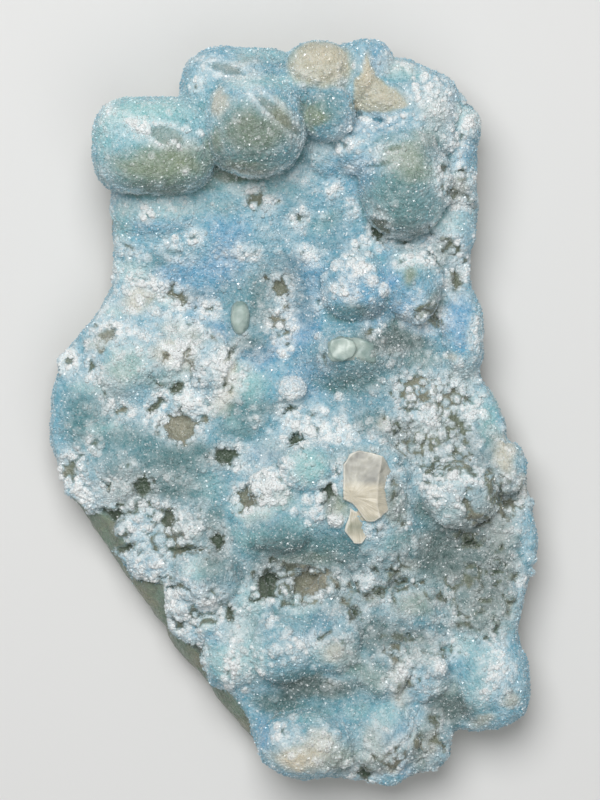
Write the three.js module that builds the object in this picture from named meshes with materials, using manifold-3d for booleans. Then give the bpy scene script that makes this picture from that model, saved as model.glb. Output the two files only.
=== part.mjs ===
// A hemimorphite specimen: a broken plate of grey-green rock, lying on its back, with a thin blue
// sugary crust grown over its upper side. Big nodules stand along the top end, low swellings, lobes
// and white spherules cover the rest, and the crust is open in many small windows down to the rock.
// Millimetres, +Z up. The back lies on z = 0, and the origin is the centre of the footprint.
import * as THREE from "three";
import { mergeVertices } from "three/addons/utils/BufferGeometryUtils.js";
import Module from "manifold-3d";

// Driving dimensions
const slabThickness = 4.6; // the rock plate under the crust
const slabChamfer = 1.5; // how far the broken edges of the slab lean in
const slabChamferShare = 0.42; // height of each leaning face, against the slab's
const crustBottom = 2.3; // the crust's growth starts inside the slab
const crustThickness = 0.9; // depth of a window in the crust
const groundLevel = 5.8; // crust surface between the swellings, at the lower end
const groundRise = 0.05; // how much that surface climbs for each millimetre up the plate
const rimLevel = 4.9; // crust surface at its outer edge
const rimRounding = 2.2; // width of the rounded shoulder inside that edge
const swellingSoftness = 1.2; // above 1 a swelling's foot runs out softly
const lobeRise = 0.66; // height of a lobe over the crust, against its radius
const reliefStep = 2.1; // spacing of the crust's surface points
const noduleCover = 0.9; // how far the crust's filling stays under a nodule
const noduleLumps = 0.06; // how uneven a nodule is, against its radius
const largeNodule = 4.8; // radius above which a nodule is faceted finer
const seatGap = 0.3; // clearance round a crystal in its seat
const seatWidening = 0.39; // how far a seat's corners move out to keep that clearance
const tallEnough = 20; // taller than anything on the plate
const wideEnough = 30; // wider than any crystal

// Outline of the plate, seen from above, clockwise. The first stretch is shared by rock and crust.
const sharedEdge = [
  [-19.9, -7.3], [-21.2, -3.8], [-21.6, -2.6], [-21.4, 2.2], [-20.7, 4.0], [-21.0, 4.7], [-17.5, 8.7],
  [-15.9, 11.6], [-16.0, 17.0], [-15.6, 19.2], [-16.9, 21.8], [-17.5, 25.0], [-16.2, 27.0], [-14.2, 27.5],
  [-12.1, 27.8], [-10.6, 27.5], [-10.2, 27.1], [-9.6, 29.0], [-7.9, 30.9], [-5.0, 32.2], [-2.0, 32.4],
  [-0.7, 31.8], [1.5, 32.6], [3.3, 32.1], [6.4, 33.0], [7.5, 31.6], [8.4, 30.8], [9.9, 31.1],
  [12.1, 30.1], [13.8, 27.6], [15.8, 25.9], [15.6, 23.6], [16.2, 18.4], [16.0, 16.3], [15.3, 14.4],
  [15.4, 12.1], [16.3, 8.0], [16.7, 5.4], [16.3, 4.1], [16.4, 2.7], [17.2, 2.3], [18.6, -0.5],
  [18.7, -2.2], [20.1, -4.5], [20.8, -8.0], [21.6, -11.2], [21.2, -12.6], [19.9, -17.2],
  [19.6, -19.3], [20.6, -22.4], [20.9, -24.7], [20.4, -26.7], [17.6, -27.6], [16.2, -28.1],
  [14.2, -27.7], [13.6, -29.2], [12.2, -31.0], [9.8, -32.2], [8.6, -33.0], [6.6, -32.4],
  [2.8, -32.0], [0.8, -32.4], [-1.5, -31.8], [-3.4, -29.2],
];
// Along the lower left the rock reaches further out than the crust, which breaks off in lobes.
const rockEdge = [[-7.0, -25.1], [-10.6, -20.6], [-13.6, -16.5], [-18.0, -10.2]];
const crustEdge = [
  [-4.0, -27.0], [-4.6, -25.7], [-6.0, -24.4], [-7.6, -24.0], [-7.8, -21.9], [-9.0, -20.4],
  [-11.1, -19.4], [-11.0, -18.0], [-11.5, -16.4], [-11.6, -14.9], [-13.8, -14.8], [-15.0, -13.2],
  [-16.0, -12.1], [-14.9, -11.4], [-15.6, -10.0], [-16.6, -8.6], [-18.2, -8.9],
];

// Big nodules: centre, three radii and the height of the top.
const nodules = [
  { at: [-12.4, 23.5], radii: [5.1, 4.3, 4.8], top: 13.4 },
  { at: [-3.5, 25.2], radii: [4.4, 4.5, 5.2], top: 15.6 },
  { at: [-5.4, 28.4], radii: [4.7, 4.0, 4.4], top: 11.8 },
  { at: [2.0, 30.1], radii: [2.9, 2.5, 2.6], top: 12.2 },
  { at: [3.0, 26.3], radii: [2.2, 2.4, 2.8], top: 13.2 },
  { at: [6.0, 30.0], radii: [1.7, 3.1, 2.6], top: 11.8 },
  { at: [11.2, 27.2], radii: [4.2, 4.0, 4.2], top: 11.4 },
  { at: [9.6, 20.8], radii: [3.9, 5.4, 5.2], top: 13.0 },
  { at: [6.2, 23.4], radii: [2.7, 2.7, 3.4], top: 11.2 },
  { at: [14.3, 22.6], radii: [1.9, 4.0, 3.0], top: 9.4 },
];

// Broad swellings of the crust: centre x, y, radius in x and y, height of the top.
const swellings = [
  // under the big nodules
  [-12.2, 23.0, 7.0, 6.6, 9.6], [-3.8, 25.6, 7.0, 7.6, 11.0], [3.0, 27.6, 5.6, 6.0, 10.2],
  [9.6, 27.4, 6.6, 5.6, 9.4], [9.4, 21.6, 6.0, 7.6, 9.8],
  // upper half
  [-12.0, 16.2, 6.0, 5.0, 8.0], [-4.6, 17.0, 6.5, 5.0, 8.6], [1.8, 20.4, 4.6, 4.6, 9.0],
  [3.2, 14.6, 4.2, 4.0, 8.2], [7.6, 11.4, 6.4, 4.4, 7.8], [-1.5, 7.0, 6.0, 5.0, 7.2],
  [13.4, 16.5, 3.4, 3.6, 8.4],
  // middle
  [-14.4, 4.8, 4.8, 4.2, 8.2], [-19.2, 0.4, 3.4, 4.2, 7.6], [-15.0, -4.2, 6.0, 5.0, 7.8],
  [-8.4, -4.6, 4.8, 4.4, 7.6], [-4.0, 1.5, 4.4, 4.0, 7.4], [8.6, 1.6, 6.4, 5.2, 8.0],
  [1.0, -5.4, 5.2, 4.4, 7.8], [6.2, -5.8, 4.4, 4.6, 8.0], [14.8, -5.4, 5.4, 5.0, 7.6],
  // lower half
  [-1.6, -10.0, 6.0, 3.8, 8.8], [9.4, -10.8, 4.0, 3.6, 7.8], [16.8, -16.4, 4.4, 5.0, 7.4],
  [-7.6, -14.4, 4.6, 4.6, 7.2], [2.0, -20.6, 8.0, 5.0, 7.6], [2.4, -28.6, 6.6, 5.0, 7.8],
];

// Rounded lobes standing on it: centre x, y, radius in x and y.
const lobes = [
  // two white-topped domes and the ridge on the right edge
  [5.4, 11.3, 3.1, 3.1], [10.2, 11.6, 2.7, 3.3], [15.0, 7.3, 2.0, 4.2],
  // right part of the rosette
  [-7.4, 4.6, 2.4, 2.8],
  // middle and right
  [1.2, -4.6, 2.7, 2.3], [-2.0, -6.7, 2.1, 1.9], [14.6, -6.4, 3.3, 2.7], [18.7, -4.6, 1.9, 2.4],
  [10.8, -17.2, 2.7, 2.3],
  // lower left
  [-9.3, -10.0, 2.1, 2.0], [-7.7, -14.2, 3.1, 2.5], [-4.1, -16.3, 2.1, 1.9], [-5.4, -21.0, 2.8, 3.1],
  // lower end
  [-1.0, -20.6, 2.8, 3.0], [3.4, -20.0, 2.3, 2.7], [7.6, -22.2, 2.4, 3.3], [11.6, -22.8, 2.3, 2.3],
  [17.6, -23.6, 3.2, 4.1], [1.0, -29.2, 3.5, 2.9], [7.8, -28.4, 2.7, 3.1],
];

// Hollows between them: centre x, y, radius in x and y, how deep they go.
const hollows = [
  [-1.0, 8.5, 3.2, 4.0, 0.5], [14.0, 20.0, 2.0, 1.8, 1.6], [12.0, 9.0, 2.0, 1.6, 1.4],
  [10.8, 1.8, 2.2, 1.8, 1.0], [18.8, -7.4, 1.9, 1.6, 1.0], [13.6, -12.6, 3.4, 3.6, 0.6],
  [-0.4, -14.4, 3.4, 1.6, 1.0], [-0.5, -25.4, 4.6, 2.0, 1.6], [13.4, -25.4, 1.8, 2.4, 1.4],
  [7.8, 27.6, 2.4, 1.6, 2.0],
];

// Windows, where the crust is open down to the rock: centre x, y, radius in x and y, turn in degrees.
const windows = [
  [-11.3, 24.3, 1.5, 0.7, -8], [0.4, 17.5, 0.6, 0.6, 20], [7.3, 16.4, 0.6, 1.1, 15],
  [-1.2, 11.1, 1.1, 1.1, 0], [-10.2, 10.5, 1.2, 0.5, -25], [-10.6, 2.2, 0.9, 0.45, 0],
  [-12.6, 0.9, 1.1, 0.5, 48], [-10.2, -1.2, 1.5, 1.2, 0], [-15.3, 0.3, 1.1, 0.45, 0],
  [-17.7, -2.8, 0.4, 0.9, 0], [-13.3, -6.3, 0.7, 0.7, 30], [-6.1, -3.7, 1.1, 0.7, 22],
  [0.2, -2.2, 0.8, 0.6, 0], [-4.4, -7.4, 0.7, 1.0, 0], [3.1, -6.9, 0.5, 1.0, 0],
  [-11.4, -9.3, 0.8, 0.7, -30], [-9.6, -12.0, 1.7, 0.45, 0], [-6.8, -11.3, 0.65, 1.1, 0],
  [-5.6, -17.9, 0.45, 1.2, 15], [-2.2, -14.4, 0.8, 1.2, 0], [1.1, -14.5, 1.3, 1.3, 0],
  [5.2, -17.7, 0.6, 0.8, 0], [9.5, -14.7, 0.7, 0.9, 0], [10.1, -2.3, 2.0, 1.1, -38],
  [13.8, -1.8, 0.5, 1.1, 0], [18.8, -7.3, 1.4, 1.1, 0], [15.5, -11.3, 0.6, 0.8, 0],
  [17.8, -13.5, 0.7, 0.75, 0], [6.2, -31.4, 1.0, 0.7, 0],
];
const windowSides = 6;
const windowTaper = 0.86; // a window's floor, against its mouth
const windowWave = 0.14; // how far its wall swings in and out, against its radius

// Spherules: centre x, y, radius, and how far the middle stands over the crust.
const spherules = [
  [-0.2, 2.3, 1.3, 0.35], [13.6, 19.3, 0.7, 0.1], [15.3, 19.3, 0.65, 0.1], [11.0, 8.8, 0.65, 0.1],
  [11.1, -1.9, 0.65, 0], [12.1, 2.2, 0.65, 0.1], [12.5, -2.4, 0.8, 0], [2.0, -8.7, 0.9, 0.1],
  [3.7, -9.0, 0.85, 0.2], [-1.0, -15.7, 0.85, 0], [3.0, -15.2, 1.0, 0.1], [6.1, -14.9, 1.1, 0],
  [-14.9, -9.9, 0.9, 0], [-7.6, -18.6, 1.1, 0], [12.5, -22.2, 1.0, 0.1], [10.9, -21.4, 0.75, 0.2],
];

// Conchoidal chips out of the back's edges: centre x, y and how deep the scoop goes there.
const backChips = [
  [-19, -2, 2.6], [12, 31, 3.0], [20, -20, 2.8], [-9, -24, 2.4], [-17, 22, 2.6], [15.5, 6, 2.2],
];
const chipRadius = 14;

// Cream bladed crystal: the upper blade and the lower one, grown together.
const upperBlade = {
  outline: [
    [4.9, -3.5], [5.7, -3.1], [7.8, -3.6], [8.5, -5.0], [8.0, -5.9], [7.8, -6.6], [8.15, -7.1],
    [8.2, -8.4], [7.0, -9.4], [6.3, -9.4], [5.0, -7.7], [4.25, -7.4], [4.25, -4.4],
  ],
  thickness: 2.2,
  // its faces: a point on each, how far that lies under the top, and the slopes along x and y
  faces: [
    { at: [6.2, -5.6], below: 0.15, slopes: [0.05, -0.17] },
    { at: [6.2, -7.4], below: 0.05, slopes: [0.1, 0.16] },
    { at: [8.0, -6.0], below: 0.7, slopes: [-0.75, 0] },
  ],
};
const lowerBlade = {
  outline: [[4.9, -8.2], [4.4, -10.2], [5.2, -11.3], [5.9, -11.3], [6.4, -10.6], [6.2, -8.9]],
  thickness: 1.5,
  faces: [{ at: [5.4, -10.0], below: 0.1, slopes: [-0.12, 0.1] }],
};
const bladeFloor = 7.3;

// Pale tabular crystal, lower towards its right end.
const tabular = {
  outline: [
    [2.9, 5.1], [2.95, 6.3], [3.9, 6.85], [5.6, 6.7], [7.0, 6.2], [7.1, 4.6], [5.2, 4.7], [3.3, 4.7],
  ],
  thickness: 1.9,
  faces: [
    { at: [3.9, 5.7], below: 0.1, slopes: [-0.14, 0.04] },
    { at: [4.5, 6.5], below: 0.35, slopes: [-0.1, -0.7] },
    { at: [4.5, 4.9], below: 0.35, slopes: [-0.1, 0.6] },
    { at: [3.1, 5.7], below: 0.4, slopes: [0.8, 0] },
  ],
};
const tabularFloor = 7.3;

// Pale oval crystal.
const ovalCentre = [-4.8, 8.5];
const ovalRadii = [0.95, 1.5, 0.75];
const ovalSeatDepth = 0.8;
const ovalCentreHeight = 0.4; // its middle, over its flat foot
const ovalCorners = 14;

const wasm = await Module();
wasm.setup();

// three.js geometry to a solid that can be joined and cut
function toSolid(geometry) {
  geometry.deleteAttribute("normal");
  geometry.deleteAttribute("uv");
  const merged = mergeVertices(geometry, 1e-5);
  return new wasm.Manifold(new wasm.Mesh({
    numProp: 3,
    vertProperties: new Float32Array(merged.attributes.position.array),
    triVerts: new Uint32Array(merged.index.array),
  }));
}

// a solid back to three.js geometry
function toGeometry(solid) {
  const mesh = solid.getMesh();
  const geometry = new THREE.BufferGeometry();
  geometry.setAttribute("position", new THREE.BufferAttribute(mesh.vertProperties, 3));
  geometry.setIndex(new THREE.BufferAttribute(mesh.triVerts, 1));
  geometry.computeVertexNormals();
  return geometry;
}

function toShape(points) {
  return new THREE.Shape(points.map(([x, y]) => new THREE.Vector2(x, y)));
}

// straight-walled solid over an outline, between two heights
function prism(points, bottom, top) {
  const geometry = new THREE.ExtrudeGeometry(toShape(points), { depth: top - bottom, bevelEnabled: false });
  geometry.translate(0, 0, bottom);
  return toSolid(geometry);
}

// an ellipsoid from an icosahedron cut finer, with lumps if it is given any
function ellipsoid([x, y, z], [rx, ry, rz], detail, lumps = 0) {
  const geometry = new THREE.IcosahedronGeometry(1, detail);
  const points = geometry.attributes.position;
  const point = new THREE.Vector3();
  for (let i = 0; i < points.count; i += 1) {
    point.fromBufferAttribute(points, i);
    const across = Math.sin(3.1 * point.x + x) * Math.sin(2.7 * point.y + y);
    const upward = Math.sin(4.3 * point.z + x + y);
    point.multiplyScalar(1 + (lumps * (across + upward)) / 2);
    points.setXYZ(i, ...point);
  }
  geometry.scale(rx, ry, rz);
  geometry.translate(x, y, z);
  return toSolid(geometry);
}

// how far a point lies inside an outline, 0 on or outside it
function depthInside(points, x, y) {
  let nearest = Infinity;
  let inside = false;
  points.forEach(([ax, ay], i) => {
    const [bx, by] = points[(i + 1) % points.length];
    const along = ((x - ax) * (bx - ax) + (y - ay) * (by - ay)) / ((bx - ax) ** 2 + (by - ay) ** 2);
    const t = THREE.MathUtils.clamp(along, 0, 1);
    nearest = Math.min(nearest, Math.hypot(x - ax - t * (bx - ax), y - ay - t * (by - ay)));
    if (ay > y !== by > y && x < ax + ((y - ay) * (bx - ax)) / (by - ay)) inside = !inside;
  });
  return inside ? nearest : 0;
}

// square of the distance to a centre, measured in radii
function reach(x, y, cx, cy, rx, ry) {
  return ((x - cx) / rx) ** 2 + ((y - cy) / ry) ** 2;
}

const plateOutline = [...sharedEdge, ...rockEdge];
const crustOutline = [...sharedEdge, ...crustEdge];

// height of the crust without lobes and nodules
function crustHeight(x, y) {
  const ground = groundLevel + groundRise * Math.max(0, y);
  let height = ground;
  for (const [cx, cy, rx, ry, top] of swellings) {
    const q = reach(x, y, cx, cy, rx, ry);
    if (q < 1) height = Math.max(height, ground + (top - ground) * (1 - q) ** swellingSoftness);
  }
  for (const [cx, cy, rx, ry, depth] of hollows) {
    const q = reach(x, y, cx, cy, rx, ry);
    if (q < 1) height -= depth * (1 - q) ** 2;
  }
  const inward = 1 - Math.min(depthInside(crustOutline, x, y), rimRounding) / rimRounding;
  return rimLevel + (height - rimLevel) * Math.sqrt(1 - inward ** 2);
}

// centre and radii of the ellipsoid whose cap is a lobe
function lobeBody([x, y, rx, ry]) {
  const rz = (rx + ry) / 2;
  return { centre: [x, y, crustHeight(x, y) - (1 - lobeRise) * rz], radii: [rx, ry, rz] };
}

function noduleBody({ at, radii, top }) {
  return { centre: [...at, top - radii[2]], radii };
}

// height of the crust with the caps of some bodies on it, each shrunk by an inset
function heightWith(bodies, x, y, inset = 0) {
  let height = crustHeight(x, y);
  for (const { centre: [cx, cy, cz], radii: [rx, ry, rz] } of bodies) {
    const q = Math.min(rx, ry) > inset ? reach(x, y, cx, cy, rx - inset, ry - inset) : 1;
    if (q < 1) height = Math.max(height, cz + rz * Math.sqrt(1 - q));
  }
  return height;
}

const noduleBodies = nodules.map(noduleBody);
const lobeBodies = lobes.map(lobeBody);
const surfaceHeight = (x, y) => heightWith([...noduleBodies, ...lobeBodies], x, y);

// the rock: the outline with both edges broken back
function makeSlab() {
  const chamferHeight = slabThickness * slabChamferShare;
  const geometry = new THREE.ExtrudeGeometry(toShape(plateOutline), {
    depth: slabThickness - 2 * chamferHeight,
    bevelThickness: chamferHeight,
    bevelSize: slabChamfer,
    bevelOffset: -slabChamfer,
    bevelSegments: 1,
  });
  geometry.translate(0, 0, chamferHeight);
  return toSolid(geometry);
}

// the crust: a block whose upper side follows the surface, just under the nodules where they stand,
// kept inside the crust's outline
function makeCrust() {
  const size = new THREE.Box2().setFromPoints(plateOutline.map(([x, y]) => new THREE.Vector2(x, y)))
    .getSize(new THREE.Vector2()).addScalar(reliefStep);
  const across = Math.round(size.x / reliefStep);
  const along = Math.round(size.y / reliefStep);
  const block = new THREE.BoxGeometry(size.x, size.y, 1, across, along, 1);
  const points = block.attributes.position;
  for (let i = 0; i < points.count; i += 1) {
    const top = points.getZ(i) > 0;
    const [x, y] = [points.getX(i), points.getY(i)];
    const filled = Math.max(crustHeight(x, y), heightWith(noduleBodies, x, y, reliefStep) - noduleCover);
    points.setZ(i, top ? filled : crustBottom);
  }
  return toSolid(block).intersect(prism(crustOutline, crustBottom - 1, tallEnough));
}

// a cutter for one window: a slightly wavy column that stops at the rock
function windowCutter([x, y, rx, ry, turn], order) {
  const column = new THREE.CylinderGeometry(1, windowTaper, tallEnough, windowSides);
  column.rotateX(Math.PI / 2);
  const points = column.attributes.position;
  for (let i = 0; i < points.count; i += 1) {
    const angle = Math.atan2(points.getY(i), points.getX(i));
    const wave = 1 + windowWave * Math.sin(3 * angle + order);
    points.setXY(i, points.getX(i) * rx * wave, points.getY(i) * ry * wave);
  }
  column.rotateZ(THREE.MathUtils.degToRad(turn));
  column.translate(x, y, tallEnough / 2 + surfaceHeight(x, y) - crustThickness);
  return toSolid(column);
}

// a crystal's seat: its outline widened by the gap, with a flat floor
function seatCutter(points, floor) {
  const centre = new THREE.Vector2();
  points.forEach(([x, y]) => centre.add(new THREE.Vector2(x, y)));
  centre.divideScalar(points.length);
  const widened = points.map(([x, y]) => {
    const out = new THREE.Vector2(x, y).sub(centre);
    out.setLength(out.length() + seatWidening).add(centre);
    return [out.x, out.y];
  });
  return prism(widened, floor, tallEnough);
}

function ovalOutline(grow) {
  return Array.from({ length: ovalCorners }, (_, i) => {
    const angle = (2 * Math.PI * i) / ovalCorners;
    return [
      ovalCentre[0] + (ovalRadii[0] + grow) * Math.cos(angle),
      ovalCentre[1] + (ovalRadii[1] + grow) * Math.sin(angle),
    ];
  });
}

const ovalFloor = surfaceHeight(...ovalCentre) - ovalSeatDepth;

function makePlate() {
  const growth = wasm.Manifold.union([
    ...noduleBodies.map(({ centre, radii }) => {
      return ellipsoid(centre, radii, Math.max(...radii) > largeNodule ? 3 : 2, noduleLumps);
    }),
    ...lobeBodies.map(({ centre, radii }) => ellipsoid(centre, radii, 1, noduleLumps)),
  ]);
  const grownOn = growth.intersect(prism(crustOutline, crustBottom, tallEnough));
  let plate = makeSlab().add(makeCrust()).add(grownOn);
  windows.forEach((window, order) => {
    plate = plate.subtract(windowCutter(window, order));
  });
  spherules.forEach(([x, y, radius, rise]) => {
    const detail = radius >= 1 ? 1 : 0;
    plate = plate.add(ellipsoid([x, y, surfaceHeight(x, y) + rise], [radius, radius, radius], detail));
  });
  plate = plate.intersect(prism(plateOutline, -1, tallEnough));
  backChips.forEach(([x, y, depth]) => {
    const radii = [chipRadius, chipRadius, chipRadius];
    plate = plate.subtract(ellipsoid([x, y, depth - chipRadius], radii, 3));
  });
  plate = plate.subtract(seatCutter(upperBlade.outline, bladeFloor));
  plate = plate.subtract(seatCutter(lowerBlade.outline, bladeFloor));
  plate = plate.subtract(seatCutter(tabular.outline, tabularFloor));
  plate = plate.subtract(prism(ovalOutline(seatGap), ovalFloor, tallEnough));
  return toGeometry(plate);
}

// a crystal over its outline, cut to its faces
function facedPrism({ outline, thickness, faces }, bottom) {
  let body = prism(outline, bottom, bottom + thickness);
  faces.forEach(({ at: [x, y], below, slopes: [slopeX, slopeY] }) => {
    const cutter = new THREE.BoxGeometry(wideEnough, wideEnough, thickness * 4);
    cutter.translate(0, 0, thickness * 2);
    cutter.rotateX(slopeY);
    cutter.rotateY(-slopeX);
    cutter.translate(x, y, bottom + thickness - below);
    body = body.subtract(toSolid(cutter));
  });
  return body;
}

function makeBladedCrystal() {
  const bottom = bladeFloor + seatGap;
  return toGeometry(facedPrism(upperBlade, bottom).add(facedPrism(lowerBlade, bottom)));
}

function makeTabularCrystal() {
  return toGeometry(facedPrism(tabular, tabularFloor + seatGap));
}

function makeOvalCrystal() {
  const bottom = ovalFloor + seatGap;
  const crown = ellipsoid([...ovalCentre, bottom + ovalCentreHeight], ovalRadii, 2);
  return toGeometry(crown.intersect(prism(ovalOutline(seatGap), bottom, tallEnough)));
}

function named(name, geometry, color, roughness) {
  const mesh = new THREE.Mesh(geometry, new THREE.MeshStandardMaterial({ color, roughness, metalness: 0 }));
  mesh.name = name;
  return mesh;
}

const group = new THREE.Group();
group.add(
  named("druse_plate", makePlate(), 0x8fb7c4, 0.5),
  named("cream_bladed_crystal", makeBladedCrystal(), 0xd9d0b6, 0.35),
  named("pale_tabular_crystal", makeTabularCrystal(), 0xc3cbb8, 0.3),
  named("pale_oval_crystal", makeOvalCrystal(), 0xb9c9b0, 0.35),
);

export default group;
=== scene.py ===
import math

import bmesh
import bpy
import numpy as np
from mathutils import Matrix, Vector, noise
from mathutils.bvhtree import BVHTree
from mathutils.kdtree import KDTree


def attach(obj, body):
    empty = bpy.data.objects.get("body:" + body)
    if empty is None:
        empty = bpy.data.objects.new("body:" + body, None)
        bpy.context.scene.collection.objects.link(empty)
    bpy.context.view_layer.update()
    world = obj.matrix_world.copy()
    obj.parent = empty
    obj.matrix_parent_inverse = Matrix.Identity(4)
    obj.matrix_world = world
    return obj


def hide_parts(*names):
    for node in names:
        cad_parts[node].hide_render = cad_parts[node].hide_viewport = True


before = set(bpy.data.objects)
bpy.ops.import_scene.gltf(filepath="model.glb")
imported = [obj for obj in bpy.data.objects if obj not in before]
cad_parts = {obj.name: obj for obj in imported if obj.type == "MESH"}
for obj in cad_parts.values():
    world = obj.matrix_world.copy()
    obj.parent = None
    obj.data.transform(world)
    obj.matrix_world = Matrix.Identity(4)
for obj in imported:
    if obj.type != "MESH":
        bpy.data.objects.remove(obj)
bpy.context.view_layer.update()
mm = 0.001  # the tables are in millimetres; the meshes are worked in them too and scaled at the end
dice = np.random.default_rng(11)


def meshObject(name, mesh):
    piece = bpy.data.objects.new(name, mesh)
    bpy.context.scene.collection.objects.link(piece)
    return piece


def fromBmesh(name, bm):
    mesh = bpy.data.meshes.new(name)
    bm.to_mesh(mesh)
    bm.free()
    return mesh


# a CAD node's mesh, welded, in millimetres
def nodeCopy(node):
    bm = bmesh.new()
    bm.from_mesh(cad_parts[node].data)
    bmesh.ops.scale(bm, vec=(1 / mm,) * 3, verts=bm.verts)
    bmesh.ops.remove_doubles(bm, verts=bm.verts, dist=1e-4)
    return bm


# a mesh as some modifiers leave it; weights fill the vertex group that one of them may read
def withModifiers(mesh, *settings, weights=None):
    worker = meshObject("worker", mesh)
    if weights is not None:
        group = worker.vertex_groups.new(name="weight")
        for level in np.unique(weights):
            group.add(np.nonzero(weights == level)[0].tolist(), float(level), "REPLACE")
    for kind, values in settings:
        modifier = worker.modifiers.new(kind.lower(), kind)
        for key, value in values.items():
            setattr(modifier, key, value)
    graph = bpy.context.evaluated_depsgraph_get()
    result = bpy.data.meshes.new_from_object(worker.evaluated_get(graph), depsgraph=graph)
    bpy.data.objects.remove(worker)
    return result


def remeshed(voxel):
    return "REMESH", {"mode": "VOXEL", "voxel_size": voxel}


def smoothed(rounds):
    return "SMOOTH", {"factor": 0.5, "iterations": rounds}


# a value or a vector of every element
def fetch(elements, key, width=1, kind=np.float32):
    values = np.empty(len(elements) * width, kind)
    elements.foreach_get(key, values)
    return values.reshape(-1, width) if width > 1 else values


def getPoints(mesh):
    return fetch(mesh.vertices, "co", 3).astype(float)


def setPoints(mesh, points):
    mesh.vertices.foreach_set("co", points.astype(np.float32).ravel())
    mesh.update()


def getNormals(mesh):
    return fetch(mesh.vertex_normals, "vector", 3).astype(float)


def setMask(mesh, name, values):
    layer = mesh.attributes.get(name) or mesh.attributes.new(name, "FLOAT", "POINT")
    layer.data.foreach_set("value", values.astype(np.float32))


def readMask(mesh, name):
    return fetch(mesh.attributes[name].data, "value").astype(float)


# average of a value over each vertex's neighbours, repeated
def spreadOut(mesh, values, rounds):
    a, b = fetch(mesh.edges, "vertices", 2, np.int32).T
    count = np.bincount(a, minlength=len(values)) + np.bincount(b, minlength=len(values)) + 1.0
    for _ in range(rounds):
        total = values + np.bincount(a, values[b], len(values)) + np.bincount(b, values[a], len(values))
        values = total / count
    return values


# soft noise from about -1 to 1 with features of a size, in millimetres
def noiseAt(points, size, seed):
    places = (points / size + (seed, 1.7 * seed, -seed)).tolist()
    return np.array([noise.noise(place) for place in places])


# the same in x and in y, to make edges wander
def wanderAt(points, size, seed):
    return np.stack([noiseAt(points, size, seed), noiseAt(points, size, seed + 5)], 1)


# distance from the nearest of many scattered points, in millimetres
def scatterAt(points, size, seed):
    places = (points / size + (seed, -seed, 2.3 * seed)).tolist()
    return np.array([noise.voronoi(place)[0][0] for place in places]) * size


# round bumps side by side: 1 on a bump's top, 0 in the gaps between
def bumpsAt(points, size, seed):
    reach = 0.85 * size
    return np.sqrt(np.clip(1 - (scatterAt(points, size, seed) / reach) ** 2, 0, 1))


# the same, up and down from about the middle of their height
def wavesAt(points, size, seed):
    return bumpsAt(points, size, seed) - 0.6


def smoothStep(values, low, high):
    t = np.clip((values - low) / (high - low), 0, 1)
    return t * t * (3 - 2 * t)


def between(limits, share):
    return limits[0] + (limits[1] - limits[0]) * share


def cosSin(degrees):
    return math.cos(math.radians(degrees)), math.sin(math.radians(degrees))


# how far points lie from a place, in radii, seen from above
def radiiFrom(points, x, y, rx, ry):
    return np.hypot((points[:, 0] - x) / rx, (points[:, 1] - y) / ry)


# how much of a table's soft spots lies at each point; a row is x, y, radius x, radius y, strength
def spotsAt(points, table):
    hardness, fall = 1.8, 1.1
    left = np.ones(len(points))
    for x, y, rx, ry, strength in table:
        q = ((points[:, 0] - x) / rx) ** 2 + ((points[:, 1] - y) / ry) ** 2
        left *= 1 - strength * np.exp(-(q ** hardness) * fall)
    return 1 - left


# the plate is made of rounded bodies welded to the copied solid, cut by windows and covered in fine bumps
plate = {
    "coarseVoxel": 0.36,
    "coarseSmoothing": 12,
    "evening": 40,  # rounds
    "evenTurn": (0.35, 0.6),  # how far up a face looks before it is evened out
    "evenHeight": (10.5, 11.5),  # and how high it may lie
    "seatEdge": (0.4, 1.9),  # in radii of a crystal's seat
    "lobeHeight": 0.8,  # of its radius
    "lobeSquareness": 2.2,
    "crease": 0.3,
    "creased": 10,  # the nodules with a crease round them come first in their table
    "creaseAway": 0.2,
    "creaseWidth": 0.4,
    "creaseHeight": (4.5, 6.5),
    "beadGround": 5.0,  # no bead stands lower
    "fineVoxel": 0.205,
    "triangles": 196000,
    "rippleSize": 2.1,
    "ripple": 0.2,
    "bumpSize": 0.85,
    "bump": 0.14,
    "beadSize": 0.62,
    "bead": 0.24,
    "grainSize": 0.3,
    "grain": 0.035,
    "knobSize": 1.35,
    "knob": 0.34,
    "windowDepth": 0.62,
    "windowWander": ((1.1, 0.42), (0.45, 0.2)),  # size and reach of each wander
    "dishWander": 0.35,  # of the windows'
    "windowScallops": (0.9, 0.8),  # size and reach
    "windowWidening": 1.2,
    "largeWindow": 0.4,  # a larger one is widened a little more
    "largeWidening": 0.15,
    "depthBySize": (0.45, 0.6),  # share of the depth at no size, and more of it for each millimetre
    "windowEdge": (-0.12, 0.1),  # how the floor meets the wall
    "windowFringe": (0.1, 0.85),  # how the white fades round it
    "islands": 1.5,
    "islandRise": 0.3,
    "creviceFrom": 0.08,  # bareness at which the crust breaks up
    "creviceWidth": (0.95, 0.52),  # in islands: how far the crevices keep from it, and the share they gain
    "creviceDepth": 0.6,
    "creviceTone": 0.3,
    "beadyPatches": 0.7,
    "beadyFringe": 0.5,
    "beadyBumps": 0.5,  # of the bumps are lost there
    "floorCalm": 0.45,  # of all bumps are lost on a window's floor
    "scarCalm": 0.7,
    "beadSinks": 0.7,  # of the window's depth
    "beadEdge": (-0.3, 0.25),
    "beadReach": (1.05, 1.3),  # in radii
    "crustHeight": (3.0, 3.6),  # the crust takes over from the rock
    "crustTurn": (-0.6, -0.2),
    "ledgeHeight": (5.2, 6.2),
    "rockWaveSize": 3.5,
    "rockWave": 0.3,
    "rockChipSize": 2.4,
    "rockChip": 0.35,
    "rockGrainSize": 0.7,
    "rockGrain": 0.08,
    "rockFoot": (0.3, 1.2),  # heights over which it grows rough
}

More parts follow.
